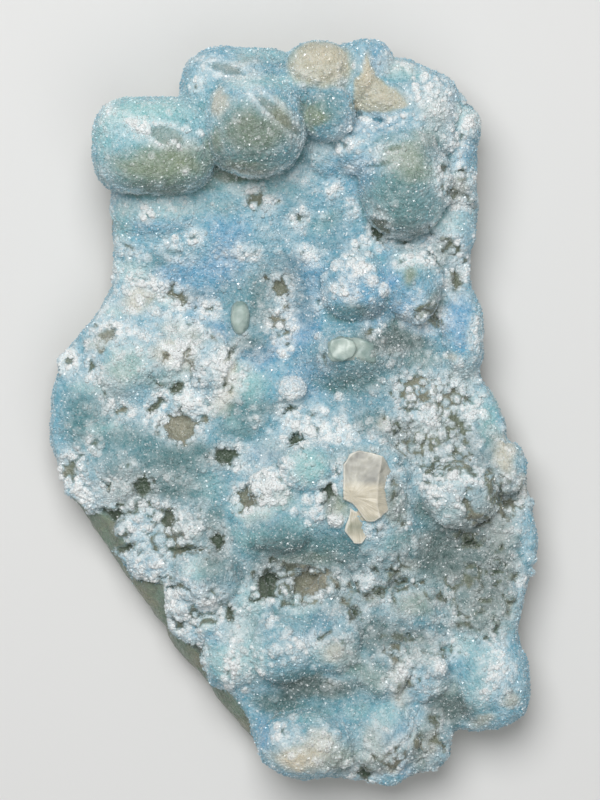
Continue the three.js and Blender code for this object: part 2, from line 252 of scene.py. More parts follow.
# x, y, height of the middle, radius x, y, z, and squareness: 2 is round
nodules = [
    (-12.3, 23.5, 8.7, 5.3, 4.2, 4.8, 3.2), (-3.5, 25.2, 10.4, 4.4, 4.5, 5.2, 2.3),
    (-5.4, 28.4, 7.5, 4.6, 3.9, 4.3, 2.5), (2.0, 30.1, 9.6, 2.9, 2.5, 2.6, 2.4),
    (3.0, 26.3, 10.4, 2.2, 2.4, 2.8, 2.3), (6.4, 29.9, 8.7, 2.2, 2.9, 2.4, 2.8),
    (10.9, 26.7, 7.2, 3.8, 3.6, 4.2, 2.3), (9.6, 20.8, 7.8, 3.9, 5.2, 5.2, 2.3),
    (6.2, 23.4, 7.8, 2.9, 2.7, 3.4, 2.2), (14.1, 22.6, 6.4, 1.9, 4.0, 3.0, 2.4),
    (7.7, 27.9, 8.0, 3.0, 2.2, 3.0, 2.2), (13.7, 25.7, 6.2, 2.3, 1.7, 3.2, 3.0),
    (9.2, 29.6, 7.4, 1.9, 1.6, 3.0, 2.4), (-0.6, 28.0, 8.6, 2.0, 2.4, 3.4, 2.2),
    (3.0, 23.0, 7.1, 3.0, 2.6, 2.6, 2.0), (-8.6, 22.6, 7.4, 1.8, 2.4, 3.2, 2.4),
    (-11.8, 18.4, 5.9, 4.4, 3.4, 2.9, 2.2), (-3.6, 19.4, 5.6, 5.0, 3.0, 3.0, 2.2),
    (15.0, 25.2, 5.6, 1.3, 1.8, 4.0, 2.6), (4.8, 30.6, 7.8, 1.5, 1.9, 2.7, 2.4),
    (12.2, 24.2, 7.2, 2.3, 2.2, 3.5, 2.2),
]

# x, y, radius x, radius y, and how far the top stands over the ground
lobes = [
    (5.4, 11.3, 3.0, 3.0, 0.4), (10.2, 11.6, 2.6, 3.2, 0.4), (14.8, 7.3, 1.8, 4.0, 0.3),
    (-7.4, 4.6, 2.3, 2.7, 0.4), (1.2, -4.6, 2.6, 2.2, 0.5), (-2.0, -6.7, 2.0, 1.8, 0.5),
    (14.4, -6.9, 3.3, 2.9, 0.25), (18.6, -4.6, 1.8, 2.2, 0.3), (10.8, -17.2, 2.6, 2.2, 0.5),
    (-9.3, -10.0, 2.0, 1.9, 0.5), (-12.7, -12.9, 2.0, 1.7, 0.9), (-7.7, -14.2, 2.9, 2.3, 0.4),
    (-9.4, -16.8, 1.8, 1.6, 0.7), (-4.1, -16.3, 2.0, 1.8, 0.4), (-5.2, -20.8, 3.0, 3.3, 0.4),
    (-1.0, -20.6, 3.0, 3.0, 0.25), (3.4, -20.0, 2.5, 2.8, 0.2), (7.6, -22.2, 2.6, 3.4, 0.1),
    (11.6, -22.8, 2.5, 2.5, 0.15), (17.4, -23.6, 3.4, 4.2, 0.15), (1.0, -29.0, 4.2, 2.9, 0.15),
    (7.8, -28.4, 3.0, 3.2, 0.1), (-1.5, -10.3, 3.0, 1.9, 0.6), (4.4, -26.6, 1.9, 1.8, 0.4),
    (12.2, -29.0, 1.5, 2.4, 0.5), (13.4, 16.6, 2.6, 2.9, 0.4), (-9.3, 1.1, 2.4, 1.3, 0.5),
    (9.4, -25.6, 2.4, 2.6, 0.1), (5.0, -23.0, 2.4, 2.2, 0.05), (14.2, -24.2, 2.0, 2.4, 0.0),
    (-15.4, 3.6, 2.4, 2.4, 0.3), (-10.8, 5.8, 2.0, 2.0, 0.4),
]

# single spherules: x, y, radius, and how far the top stands over the ground
beads = [
    (-0.2, 2.2, 1.05, 1.1), (-2.3, 18.8, 0.45, 0.4), (3.5, 19.9, 0.35, 0.3), (13.6, 19.3, 0.65, 0.6),
    (15.3, 19.3, 0.6, 0.5), (13.7, 20.5, 0.5, 0.5), (11.0, 8.8, 0.55, 0.5), (11.6, 8.2, 0.45, 0.4),
    (12.1, 7.9, 0.35, 0.4), (-1.3, 7.8, 0.38, 0.3), (-0.6, 6.8, 0.4, 0.4), (1.1, 14.0, 0.45, 0.4),
    (3.9, 1.6, 0.35, 0.4), (11.1, -1.9, 0.6, 0.5), (8.1, -1.0, 0.45, 0.5), (10.3, 1.5, 0.55, 0.5),
    (12.1, 2.2, 0.6, 0.5), (12.4, -2.4, 0.7, 0.5), (13.6, -3.0, 0.4, 0.4), (13.2, -4.2, 0.35, 0.4),
    (11.7, -3.5, 0.3, 0.4), (15.4, -4.0, 0.3, 0.3), (2.3, -7.3, 0.55, 0.6), (1.2, -7.4, 0.5, 0.5),
    (2.0, -8.7, 0.8, 0.6), (3.7, -9.0, 0.8, 0.7), (-1.8, -5.2, 0.55, 0.4), (-3.5, -6.6, 0.35, 0.4),
    (-6.5, -17.3, 0.5, 0.4), (-6.0, -18.0, 0.35, 0.4), (-6.5, -18.2, 0.3, 0.4), (-6.0, -18.8, 0.4, 0.4),
    (-2.4, -17.8, 0.5, 0.5), (-1.9, -18.1, 0.4, 0.4), (-1.0, -15.6, 0.8, 0.6), (3.0, -15.1, 0.9, 0.7),
    (3.6, -14.2, 0.4, 0.4), (4.3, -14.8, 0.5, 0.5), (6.1, -14.8, 1.0, 0.7), (-15.0, -10.0, 0.85, 0.7),
    (-7.6, -18.6, 1.0, 0.8), (12.5, -22.2, 0.9, 0.6), (10.0, -21.8, 0.7, 0.6), (10.9, -21.3, 0.65, 0.6),
    (9.3, -22.6, 0.6, 0.5), (12.0, -19.3, 0.5, 0.5), (19.0, -12.2, 0.4, 0.4), (18.8, -11.5, 0.35, 0.4),
    (19.3, -11.3, 0.35, 0.4), (14.1, -14.6, 0.6, 0.5), (19.6, -10.3, 0.5, 0.4), (14.3, -7.3, 0.3, 0.4),
    (8.7, -6.5, 0.5, 0.5), (9.0, -7.6, 0.5, 0.5), (8.6, -8.4, 0.4, 0.4), (0.9, 29.6, 0.45, 0.4),
    (-14.3, 25.4, 0.3, 0.3), (-13.7, 25.1, 0.4, 0.4), (-13.2, 24.7, 0.42, 0.4), (-12.7, 24.5, 0.35, 0.35),
    (-12.8, 25.0, 0.3, 0.3), (-10.5, 23.5, 0.36, 0.35), (-10.0, 23.3, 0.25, 0.25), (1.9, 29.2, 0.4, 0.35),
]

# patches strewn with small spherules: x, y, radius x, radius y, how many, share of white
beadPatches = [
    (-10.8, 5.6, 3.0, 2.4, 30, 0.6), (-7.4, 2.6, 2.6, 2.6, 45, 0.9), (-1.0, 8.6, 1.2, 2.4, 16, 1.0),
    (12.4, 0.0, 4.4, 4.4, 130, 0.95), (12.8, -4.4, 3.4, 2.2, 64, 0.75), (16.4, -8.4, 3.0, 3.0, 60, 0.3),
    (18.4, -11.4, 2.2, 2.6, 46, 0.35), (16.4, -16.6, 3.4, 3.2, 56, 0.3), (2.0, -8.2, 1.6, 1.2, 12, 0.9),
    (-2.6, -6.2, 1.8, 1.4, 26, 1.0), (-11.0, -9.0, 3.4, 1.8, 36, 0.8), (-14.6, -10.4, 1.6, 1.2, 14, 0.9),
    (-12.4, -13.6, 2.0, 1.0, 18, 0.9), (-9.6, -17.2, 2.2, 1.6, 22, 0.8), (-6.6, -17.6, 1.2, 1.4, 16, 0.9),
    (1.5, -15.4, 5.0, 1.6, 34, 0.5), (8.0, -14.4, 3.2, 1.8, 34, 0.5), (6.5, -18.6, 2.6, 2.6, 30, 0.3),
    (10.0, -22.4, 2.2, 2.2, 60, 0.65), (1.6, -28.8, 2.6, 1.6, 30, 0.6), (8.0, -30.2, 3.0, 1.6, 26, 0.5),
    (-16.0, -6.6, 3.0, 2.2, 30, 0.7), (5.4, 12.0, 2.2, 1.8, 24, 0.8), (11.6, 8.0, 1.8, 1.8, 22, 0.7),
    (14.2, 20.0, 1.4, 1.8, 14, 0.8), (2.2, 29.4, 2.2, 1.4, 12, 0.8), (11.8, 27.6, 2.6, 2.0, 26, 0.8),
    (-14.6, 12.0, 1.6, 2.4, 14, 0.7), (7.6, 25.2, 2.6, 0.9, 18, 0.9), (-1.0, -20.4, 2.0, 1.6, 18, 0.9),
    (18.8, -5.2, 1.4, 2.8, 22, 0.5), (3.4, -1.0, 3.0, 1.6, 40, 0.9), (9.0, -7.4, 1.0, 2.2, 14, 0.5),
    (12.2, -28.8, 1.2, 1.6, 12, 0.7), (-19.6, -4.6, 1.0, 1.8, 14, 0.9), (9.4, -24.8, 1.0, 1.6, 14, 0.6),
]

# openings in the crust: x, y, radius x, radius y, turn in degrees, depth as a share,
# and tone: 0 brown grey, 1 dark green
windows = [
    (-8.45, 28.5, 0.3, 0.3, 0, 0.5, 0.3), (-3.2, 18.9, 1.1, 0.6, -15, 0.6, 0.5),
    (0.45, 17.4, 0.55, 0.45, 20, 0.7, 0.9), (5.1, 18.1, 0.25, 0.4, 0, 0.6, 0.9),
    (3.4, 19.8, 0.4, 0.3, 0, 0.5, 0.4), (4.3, 23.5, 0.7, 0.25, 10, 0.5, 0.3),
    (7.35, 16.4, 0.7, 1.1, 15, 0.8, 0.8), (9.6, 15.1, 0.7, 0.35, 0, 0.6, 0.7),
    (12.9, 21.4, 0.35, 0.55, 0, 0.6, 0.4), (14.4, 24.3, 0.9, 0.25, 50, 0.5, 0.4),
    (13.0, 19.6, 0.35, 0.6, 30, 0.6, 0.2), (14.6, 20.6, 0.8, 0.25, 10, 0.6, 0.1),
    (15.2, 19.0, 0.7, 0.25, -20, 0.5, 0.1), (11.8, 16.0, 0.35, 0.3, 0, 0.5, 0.6),
    (13.5, 15.0, 0.5, 0.6, 0, 0.8, 0.4), (12.1, 13.8, 1.1, 0.28, -45, 0.5, 0.2),
    (9.4, 13.5, 0.45, 0.25, 0, 0.5, 0.6), (14.3, 11.9, 0.6, 0.9, 0, 0.8, 0.3),
    (11.4, 9.2, 1.0, 0.45, 20, 0.6, 0.2), (12.5, 8.4, 0.5, 0.7, 0, 0.5, 0.3),
    (6.7, 7.3, 0.35, 0.5, 0, 0.6, 0.4), (8.4, 5.4, 0.6, 0.2, 10, 0.6, 0.6),
    (2.7, 5.3, 0.25, 0.5, 0, 0.6, 0.8), (-1.25, 11.2, 0.95, 0.95, 0, 0.9, 0.2),
    (-0.7, 9.2, 0.4, 0.5, 0, 0.8, 0.3), (-1.4, 8.3, 1.0, 0.7, 0, 0.7, 0.2),
    (-0.55, 6.3, 0.3, 0.3, 0, 0.6, 0.4), (-4.6, 14.3, 0.3, 0.25, 0, 0.5, 0.3),
    (-3.5, 14.3, 0.25, 0.25, 0, 0.5, 0.3), (1.0, 14.2, 0.55, 0.25, 0, 0.5, 0.6),
    (5.7, 14.9, 0.6, 0.25, 20, 0.6, 0.6), (4.8, 13.8, 0.25, 0.25, 0, 0.5, 0.5),
    (6.0, 12.7, 0.22, 0.22, 0, 0.5, 0.4), (4.1, 11.1, 0.22, 0.2, 0, 0.5, 0.4),
    (5.0, 10.1, 0.22, 0.22, 0, 0.5, 0.4), (2.1, 9.9, 0.22, 0.35, 0, 0.5, 0.5),
    (-7.3, 9.4, 0.4, 0.4, 0, 0.7, 0.2), (-8.8, 15.6, 0.35, 0.25, -20, 0.5, 0.4),
    (-10.8, 15.05, 0.22, 0.2, 0, 0.4, 0.3), (-13.0, 17.5, 0.2, 0.2, 0, 0.4, 0.2),
    (-10.3, 10.4, 1.2, 0.5, -28, 0.7, 0.3), (-13.0, 11.8, 1.5, 0.15, -22, 0.4, 0.5),
    (-14.7, 14.7, 0.6, 0.3, -20, 0.5, 0.2), (-9.4, 8.0, 0.6, 0.22, 10, 0.5, 0.3),
    (-7.5, 6.9, 0.8, 0.3, -25, 0.6, 0.2), (-16.4, 7.0, 1.0, 0.45, 25, 0.5, 0.1),
    (-17.4, 6.0, 0.4, 0.4, 0, 0.5, 0.1), (-20.0, 4.6, 0.5, 0.5, 0, 0.5, 0.1),
    (-17.2, 3.1, 0.5, 0.2, -10, 0.5, 0.7), (-16.7, 1.6, 0.2, 1.3, 15, 0.5, 0.4),
    (-11.5, 5.1, 0.4, 0.5, 0, 0.6, 0.2), (-5.6, 5.5, 0.25, 1.0, -35, 0.7, 0.8),
    (-9.2, 4.6, 0.25, 1.7, 0, 0.6, 0.4), (-10.6, 2.3, 1.0, 0.42, 15, 0.8, 0.5),
    (-12.2, 0.9, 1.1, 0.42, 42, 0.8, 0.4), (-15.5, 0.35, 1.1, 0.36, 0, 0.7, 0.2),
    (-7.8, 3.8, 0.7, 0.22, 0, 0.5, 0.5), (-5.4, 2.3, 0.22, 1.2, -35, 0.6, 0.5),
    # the dark tone of the window at (-0.5, 0.5) is painted shadow of the ball beside it
    (-0.5, 0.5, 0.8, 0.4, 0, 0.8, 1.0), (-3.5, -0.5, 0.2, 0.15, 0, 0.5, 1.0),
    (-10.05, -1.15, 1.5, 1.2, 0, 0.8, 0.0), (-17.6, -2.6, 0.3, 0.75, 10, 0.6, 0.4),
    (-19.8, -4.8, 0.6, 1.0, -15, 0.5, 0.2), (-13.4, -6.3, 0.85, 0.85, 0, 0.9, 0.8),
    (-14.7, -4.4, 0.3, 0.25, 0, 0.5, 0.7), (-10.4, -5.6, 0.7, 0.15, -10, 0.4, 0.6),
    (-6.0, -3.6, 1.25, 0.75, 15, 0.9, 0.9), (0.1, -2.2, 0.75, 0.6, 0, 0.8, 0.8),
    (-1.6, -4.6, 0.7, 0.18, 10, 0.5, 0.5), (-4.2, -7.3, 1.0, 1.05, 20, 0.8, 0.1),
    (-1.3, -5.7, 0.3, 0.25, 0, 0.6, 0.4), (-2.7, -5.5, 0.25, 0.25, 0, 0.6, 0.4),
    (3.85, -4.9, 0.3, 0.6, 0, 0.7, 0.8), (2.9, -6.9, 0.6, 0.9, 0, 0.8, 0.8),
    (-16.3, -9.0, 1.3, 0.8, 20, 0.9, 0.7), (-15.4, -11.6, 1.5, 0.65, -10, 0.9, 0.7),
    (-11.4, -9.2, 0.9, 1.0, 0, 0.8, 0.6), (-12.6, -8.9, 0.6, 0.3, 0, 0.7, 0.6),
    (-9.6, -11.9, 2.0, 0.5, -3, 0.8, 0.7), (-6.7, -11.2, 0.65, 1.15, 10, 0.9, 0.8),
    (-13.8, -8.0, 0.3, 0.5, 0, 0.6, 0.5), (-12.7, -15.6, 1.4, 0.9, 0, 0.9, 0.6),
    (-12.2, -17.3, 0.7, 0.6, 0, 0.9, 0.6), (-11.0, -14.5, 0.4, 0.25, 0, 0.6, 0.5),
    (-8.8, -21.1, 1.0, 0.9, 0, 0.9, 0.7), (-5.7, -17.5, 0.36, 1.2, 15, 0.7, 0.7),
    (-7.2, -17.7, 0.3, 0.4, 0, 0.6, 0.6), (-8.8, -18.6, 0.3, 0.3, 0, 0.6, 0.6),
    (-7.4, -15.8, 0.5, 0.3, 0, 0.6, 0.5), (-2.3, -14.8, 1.05, 1.6, -20, 0.9, 0.8),
    (-3.6, -14.0, 0.4, 0.35, 0, 0.6, 0.6), (-0.6, -13.5, 1.1, 0.4, 0, 0.6, 0.6),
    (1.1, -15.0, 1.5, 1.25, 0, 0.9, 0.05), (-5.7, -22.8, 0.16, 0.9, -10, 0.4, 0.5),
    (5.2, -17.5, 0.5, 0.7, 0, 0.8, 0.6), (4.1, -19.8, 0.3, 0.3, 0, 0.5, 0.4),
    (7.1, -13.6, 0.22, 0.6, 0, 0.6, 0.5), (7.4, -15.6, 0.45, 0.45, 0, 0.7, 0.6),
    (9.4, -14.9, 0.65, 0.7, 0, 0.8, 0.5), (9.4, -1.2, 1.0, 0.7, -10, 0.6, 0.5),
    (10.9, -2.4, 1.6, 1.4, -20, 0.55, 0.2), (12.3, -4.5, 1.2, 0.7, 0, 0.6, 0.6),
    (10.8, 2.2, 1.7, 1.2, 0, 0.5, 0.1), (10.2, 0.6, 0.8, 0.6, 0, 0.5, 0.2),
    (14.4, -2.0, 1.2, 2.5, 5, 0.5, 0.25), (13.6, 1.4, 1.3, 1.0, 20, 0.45, 0.1),
    (15.5, -5.0, 0.3, 0.55, 0, 0.6, 0.5), (14.2, -7.2, 0.35, 0.3, 0, 0.5, 0.2),
    (12.5, -7.4, 0.35, 0.3, 0, 0.6, 0.5), (15.2, -2.6, 0.5, 0.4, 0, 0.6, 0.3),
    (18.6, -7.1, 1.5, 1.2, 0, 0.8, 0.35), (17.2, -5.6, 0.5, 0.8, 0, 0.7, 0.2),
    (15.6, -11.2, 1.0, 0.65, 0, 0.9, 0.8), (17.8, -13.5, 0.65, 0.75, 0, 1.0, 1.0),
    (16.4, -9.4, 0.7, 0.35, 0, 0.7, 0.4), (18.4, -11.8, 0.3, 0.4, 0, 0.7, 0.6),
    (19.4, -14.4, 0.5, 0.5, 0, 0.6, 0.3), (13.2, -16.3, 0.9, 0.35, -15, 0.8, 0.7),
    (16.8, -16.4, 0.7, 0.35, 20, 0.7, 0.6), (15.0, -18.5, 1.1, 0.28, -10, 0.7, 0.6),
    (17.7, -18.7, 0.22, 1.1, 10, 0.6, 0.7), (15.2, -14.6, 0.6, 0.4, 0, 0.6, 0.3),
    (9.8, -19.6, 1.6, 0.28, -5, 0.6, 0.6), (8.8, -20.4, 0.6, 0.4, 0, 0.6, 0.4),
    (13.4, -20.8, 0.8, 0.6, 0, 0.7, 0.2), (9.2, -24.0, 0.3, 0.6, 0, 0.5, 0.2),
    (8.9, -29.7, 0.8, 0.3, 50, 0.6, 0.2), (6.1, -31.6, 0.9, 0.6, 0, 0.8, 0.9),
    (11.0, -29.0, 0.4, 1.5, 10, 0.6, 0.3), (12.3, -26.9, 0.5, 0.6, 0, 0.6, 0.5),
    (-1.1, -27.8, 0.4, 0.35, 0, 0.5, 0.4), (9.5, -9.6, 0.35, 0.3, 0, 0.7, 0.7),
    (7.3, -10.2, 0.6, 0.3, 15, 0.6, 0.6), (8.6, -7.6, 0.25, 0.8, 0, 0.6, 0.6),
    (11.1, -11.2, 0.35, 0.3, 0, 0.6, 0.6), (17.2, -23.7, 0.5, 0.12, 60, 0.3, 0.5),
    (17.8, -22.7, 0.15, 0.15, 0, 0.4, 0.4), (3.2, -23.8, 0.3, 0.3, 0, 0.4, 0.3),
]

# shallow bare dishes with smooth edges, in the same columns
dishes = [
    (-11.1, 24.15, 1.3, 0.62, -14, 0.26, 0.15), (-13.5, 25.1, 1.0, 0.14, -28, 0.4, 0.5),
    (-1.4, 25.9, 2.1, 0.42, -43, 0.3, 0.1), (7.2, 21.7, 0.9, 0.2, 5, 0.4, 0.6),
    (8.6, 23.1, 0.8, 0.2, 10, 0.3, 0.2), (-10.6, 14.2, 0.7, 0.3, -15, 0.2, 0.1),
    (-6.0, 30.1, 1.3, 0.38, -15, 0.3, 0.1),
]

# where the crust is broken up by crevices: x, y, radius x, radius y, share
bareAreas = [
    (-9.0, 3.6, 4.4, 3.0, 0.5), (-15.5, 5.5, 3.0, 2.6, 0.35), (-12.0, -10.0, 4.6, 3.2, 0.7),
    (-16.6, -6.4, 2.8, 2.6, 0.5), (-8.6, -16.8, 4.0, 3.0, 0.7), (1.6, -15.2, 6.0, 2.2, 0.7),
    (8.6, -15.4, 4.0, 2.6, 0.7), (12.6, 1.4, 4.2, 3.0, 0.4), (13.4, -5.4, 4.0, 1.8, 0.5),
    (17.0, -9.6, 3.4, 4.0, 0.9), (16.4, -16.0, 4.0, 3.6, 0.8), (11.6, 8.4, 2.0, 2.0, 0.6),
    (10.4, -22.0, 3.2, 3.0, 0.6), (6.6, -19.6, 3.0, 3.0, 0.4), (14.2, 20.0, 1.8, 2.2, 0.7),
    (-2.6, -6.4, 2.0, 1.8, 0.4), (2.6, -0.8, 3.4, 1.8, 0.5), (-1.0, 8.6, 1.2, 2.4, 0.5),
    (9.0, -7.4, 1.4, 2.4, 0.6), (12.0, -28.6, 1.6, 2.8, 0.5), (8.4, -30.4, 3.0, 1.4, 0.5),
    (13.8, 14.0, 1.8, 3.0, 0.5), (3.0, -20.6, 2.0, 1.6, 0.3),
]

# where the crust grew in small knobs, in the same columns
knobbly = [
    (2.0, -14.5, 8.0, 2.4, 0.9), (8.6, -18.6, 6.0, 4.6, 0.9), (16.2, -13.0, 3.8, 6.5, 0.9),
    (9.8, -24.0, 3.2, 4.4, 0.8), (-11.0, -11.4, 5.0, 3.6, 0.8), (-8.4, -17.4, 3.4, 2.6, 0.8),
    (-16.0, -6.6, 3.2, 2.4, 0.6), (-9.0, 4.4, 4.2, 3.6, 0.7), (-15.4, 6.0, 3.0, 2.6, 0.5),
    (13.2, -3.0, 4.4, 4.6, 0.7), (12.2, 8.6, 2.2, 2.0, 0.6), (11.6, -28.6, 2.2, 3.0, 0.7),
    (5.0, -26.2, 3.2, 2.6, 0.5), (2.8, -20.4, 3.4, 2.6, 0.5), (-2.6, -6.4, 2.6, 2.0, 0.5),
    (7.6, -29.6, 3.0, 2.0, 0.6),
]

# the outline of the ledge of bare rock outside the crust, round the lower left edge
ledge = [
    (-3.8, -27.9), (-4.1, -26.9), (-4.6, -25.7), (-6.0, -24.4), (-7.6, -24.0), (-7.8, -21.9), (-9.0, -20.4),
    (-11.1, -19.4), (-11.2, -18.0), (-11.5, -16.4), (-11.6, -14.9), (-13.8, -14.8), (-15.0, -13.2),
    (-16.0, -12.1), (-14.9, -11.4), (-15.6, -10.0), (-16.6, -8.6), (-18.2, -8.9), (-19.2, -7.4),
    (-30.0, -6.0), (-30.0, -36.0), (-3.8, -36.0),
]

# smooth cream faces where the crust has broken off: softness of the edge, outline
scars = [
    (0.15, [(6.4, 31.4), (7.2, 29.4), (9.2, 28.0), (9.9, 26.8), (7.6, 26.3), (4.9, 26.6), (5.2, 28.8)]),
    (0.6, [(-0.7, 30.4), (0.2, 31.9), (1.4, 32.7), (3.2, 32.6), (4.7, 31.6), (5.0, 30.0), (4.2, 28.9),
           (2.8, 28.4), (1.4, 28.6), (0.0, 29.0)]),
]


# copies of a small shape, each scaled, turned and sent to its place
def repeated(name, bm, places, radii, turns=None):
    perShape = len(bm.verts)
    count = len(places)
    inPlace = {"count": count, "use_relative_offset": False, "use_constant_offset": False}
    mesh = withModifiers(fromBmesh(name, bm), ("ARRAY", inPlace))
    shapes = getPoints(mesh).reshape(count, perShape, 3) * radii[:, None, :]
    if turns is not None:
        shapes = np.einsum("nij,nkj->nki", turns, shapes)
    setPoints(mesh, (shapes + places[:, None, :]).reshape(-1, 3))
    return mesh


# slightly squared balls
def ballField(name, places, radii, fineness, squareness=2.3):
    bm = bmesh.new()
    bmesh.ops.create_icosphere(bm, subdivisions=fineness, radius=1)
    perBall = len(bm.verts)
    mesh = repeated(name, bm, 0 * places, 0 * places + 1)
    power = np.broadcast_to(squareness, len(places))[:, None]
    balls = getPoints(mesh).reshape(len(places), perBall, 3)
    balls /= ((abs(balls) ** power[:, :, None]).sum(2) ** (1 / power))[:, :, None]
    setPoints(mesh, (balls * radii[:, None, :] + places[:, None, :]).reshape(-1, 3))
    return mesh


def treeOf(mesh):
    bm = bmesh.new()
    bm.from_mesh(mesh)
    tree = BVHTree.FromBMesh(bm)
    bm.free()
    return tree


# height of a mesh under points, seen from above; -1 beside it
def groundUnder(tree, places):
    heights = []
    for x, y in places:
        hit = tree.ray_cast(Vector((x, y, 30)), Vector((0, 0, -1)))[0]
        heights.append(hit.z if hit else -1.0)
    return np.array(heights)


# beads round the windows, in the patches and loose; a lift is a top's height over the ground in radii
beadField = {
    "rim": {
        "spacing": 0.62,
        "jitter": 0.35,
        "away": (0.05, 0.3),
        "radius": (0.24, 0.44),
        "lift": (0.3, 0.6),
        "white": (0.5, 1),
    },
    "patch": {
        "radius": (0.24, 0.68),
        "lift": (0.35, 0.7),
        "white": (0.3, 1.0),
    },
    "loose": {
        "count": 240,
        "reach": (20, 31),
        "radius": (0.24, 0.4),
        "lift": 0.5,
        "white": (0.1, 0.7),
    },
    "placedWhite": (0.65, 0.95),  # of the big and the small ones in the table of beads
    "freeRadius": (0.3, 1.3),  # windows of this size keep free of strewn beads
    "freeLeftOf": 9,
    "freeMargin": 0.3,
}


# whether a place lies in one of the windows that stay free of strewn beads
def inWindow(px, py):
    smallest, largest = beadField["freeRadius"]
    margin = beadField["freeMargin"]
    for x, y, rx, ry, turn, *_ in windows:
        if smallest < min(rx, ry) < largest and x < beadField["freeLeftOf"]:
            c, s = cosSin(turn)
            u = ((px - x) * c + (py - y) * s) / (rx + margin)
            v = (-(px - x) * s + (py - y) * c) / (ry + margin)
            if u * u + v * v < 1:
                return True
    return False


# x, y, radius, lift and whiteness of every small bead
def strewBeads():
    rim, patch, loose = beadField["rim"], beadField["patch"], beadField["loose"]
    big, small = beadField["placedWhite"]
    rows = [(x, y, r, lift / r, small if r < 1 else big) for x, y, r, lift in beads]
    for x, y, rx, ry, turn, *_ in windows:
        count = max(4, round((math.pi * (rx + ry) + 0.8) / rim["spacing"]))
        angles = (np.arange(count) + dice.uniform(-rim["jitter"], rim["jitter"], count)) * math.tau / count
        c, s = cosSin(turn)
        for angle in angles:
            far = dice.uniform(*rim["away"])
            u, v = (rx + far) * math.cos(angle), (ry + far) * math.sin(angle)
            r, lift, white = (dice.uniform(*rim[key]) for key in ("radius", "lift", "white"))
            rows.append((x + u * c - v * s, y + u * s + v * c, r, lift, white))
    for x, y, rx, ry, count, share in beadPatches:
        taken = []
        for _ in range(6 * count):
            px, py = np.array((x, y)) + dice.normal(0, 0.5, 2) * (rx, ry)
            size = between(patch["radius"], dice.random() ** 1.5)
            clear = all(math.hypot(px - a, py - b) > size + r for a, b, r in taken)
            if len(taken) < count and clear and not inWindow(px, py):
                taken.append((px, py, size))
        for place in taken:
            rows.append((*place, dice.uniform(*patch["lift"]), share * dice.uniform(*patch["white"])))
    reach = np.array(loose["reach"])
    for px, py in dice.uniform(-reach, reach, (loose["count"], 2)):
        if not inWindow(px, py):
            radius = dice.uniform(*loose["radius"])
            rows.append((px, py, radius, loose["lift"], dice.uniform(*loose["white"])))
    return np.array(rows)


def joined(meshes):
    bm = bmesh.new()
    for mesh in meshes:
        bm.from_mesh(mesh)
    return fromBmesh("joined", bm)


# the crust that hugs each separate crystal: how far it spreads, how far its top stays under the crystal's
collars = {
    "cream_bladed_crystal": (0.25, 0.8),
    "pale_tabular_crystal": (0.25, 0.5),
    "pale_oval_crystal": (0.25, 0.62),
}

# how high the ground reaches round each crystal: x, y, radius x, radius y, height
seats = [(6.4, -7.2, 2.9, 4.9, 8.9), (5.2, 5.6, 3.0, 2.0, 8.8), (-4.8, 8.5, 1.7, 2.2, 6.5)]


def makeCollar(node, spread, drop):
    bm = nodeCopy(node)
    middle = sum((vert.co for vert in bm.verts), Vector()) / len(bm.verts)
    for vert in bm.verts:
        out = (vert.co - middle).to_2d().normalized() * spread
        vert.co += Vector((out.x, out.y, -drop))
    return fromBmesh("collar", bm)


# softens the domes of the upper side and leaves its outline as it is
def evenOut(mesh):
    points, normals = getPoints(mesh), getNormals(mesh)
    upper = smoothStep(normals[:, 2], *plate["evenTurn"])
    rounds = plate["evening"]
    mean = spreadOut(mesh, points[:, 2] * upper, rounds) / (spreadOut(mesh, upper, rounds) + 1e-6)
    low = 1 - smoothStep(points[:, 2], *plate["evenHeight"])
    points[:, 2] += (mean - points[:, 2]) * upper * low
    for x, y, rx, ry, height in seats:
        near = 1 - smoothStep(radiiFrom(points, x, y, rx, ry), *plate["seatEdge"])
        points[:, 2] += (height - points[:, 2]) * near * upper
    setPoints(mesh, points)


# the ground drops into a crease round the foot of each big nodule
def creaseGround(mesh):
    points = getPoints(mesh)
    drop = np.zeros(len(points))
    for x, y, _, rx, ry, *_ in nodules[:plate["creased"]]:
        out = (radiiFrom(points, x, y, rx, ry) - 1) * min(rx, ry)
        fall = np.exp(-((out - plate["creaseAway"]) / plate["creaseWidth"]) ** 2)
        drop = np.maximum(drop, plate["crease"] * fall)
    points[:, 2] -= drop * smoothStep(points[:, 2], *plate["creaseHeight"])
    setPoints(mesh, points)


# the copied solid, evened out, with the nodules and lobes on it
def growGround():
    solid = fromBmesh("solid", nodeCopy("druse_plate"))
    ground = withModifiers(solid, remeshed(plate["coarseVoxel"]), smoothed(plate["coarseSmoothing"]))
    evenOut(ground)
    bodies = [(x, y, 0.0, rx, ry, plate["lobeHeight"] * (rx + ry) / 2, lift) for x, y, rx, ry, lift in lobes]
    placed = np.array(bodies)
    placed[:, 2] = groundUnder(treeOf(ground), placed[:, :2]) + placed[:, 6] - placed[:, 5]
    placed[:, 6] = plate["lobeSquareness"]
    bodies = np.vstack([nodules, placed])
    grown = ballField("grown", bodies[:, :3], bodies[:, 3:6], 4, bodies[:, 6])
    creaseGround(ground)
    return joined([ground, grown])


# the whole skin, and the places, radii and whiteness of the small beads on it
def makePlateSkin():
    firm = growGround()
    rows = strewBeads()
    heights = groundUnder(treeOf(firm), rows[:, :2])
    standing = heights > plate["beadGround"]
    rows, heights = rows[standing], heights[standing]
    places = np.column_stack([rows[:, :2], heights + rows[:, 2] * (rows[:, 3] - 1)])
    small = ballField("small", places, rows[:, 2, None] * dice.uniform(0.85, 1.15, (len(rows), 3)), 2)
    rings = [makeCollar(node, *values) for node, values in collars.items()]
    skin = withModifiers(joined([firm, small, *rings]), remeshed(plate["fineVoxel"]), smoothed(1))
    return skin, places, rows[:, 2], rows[:, 4]


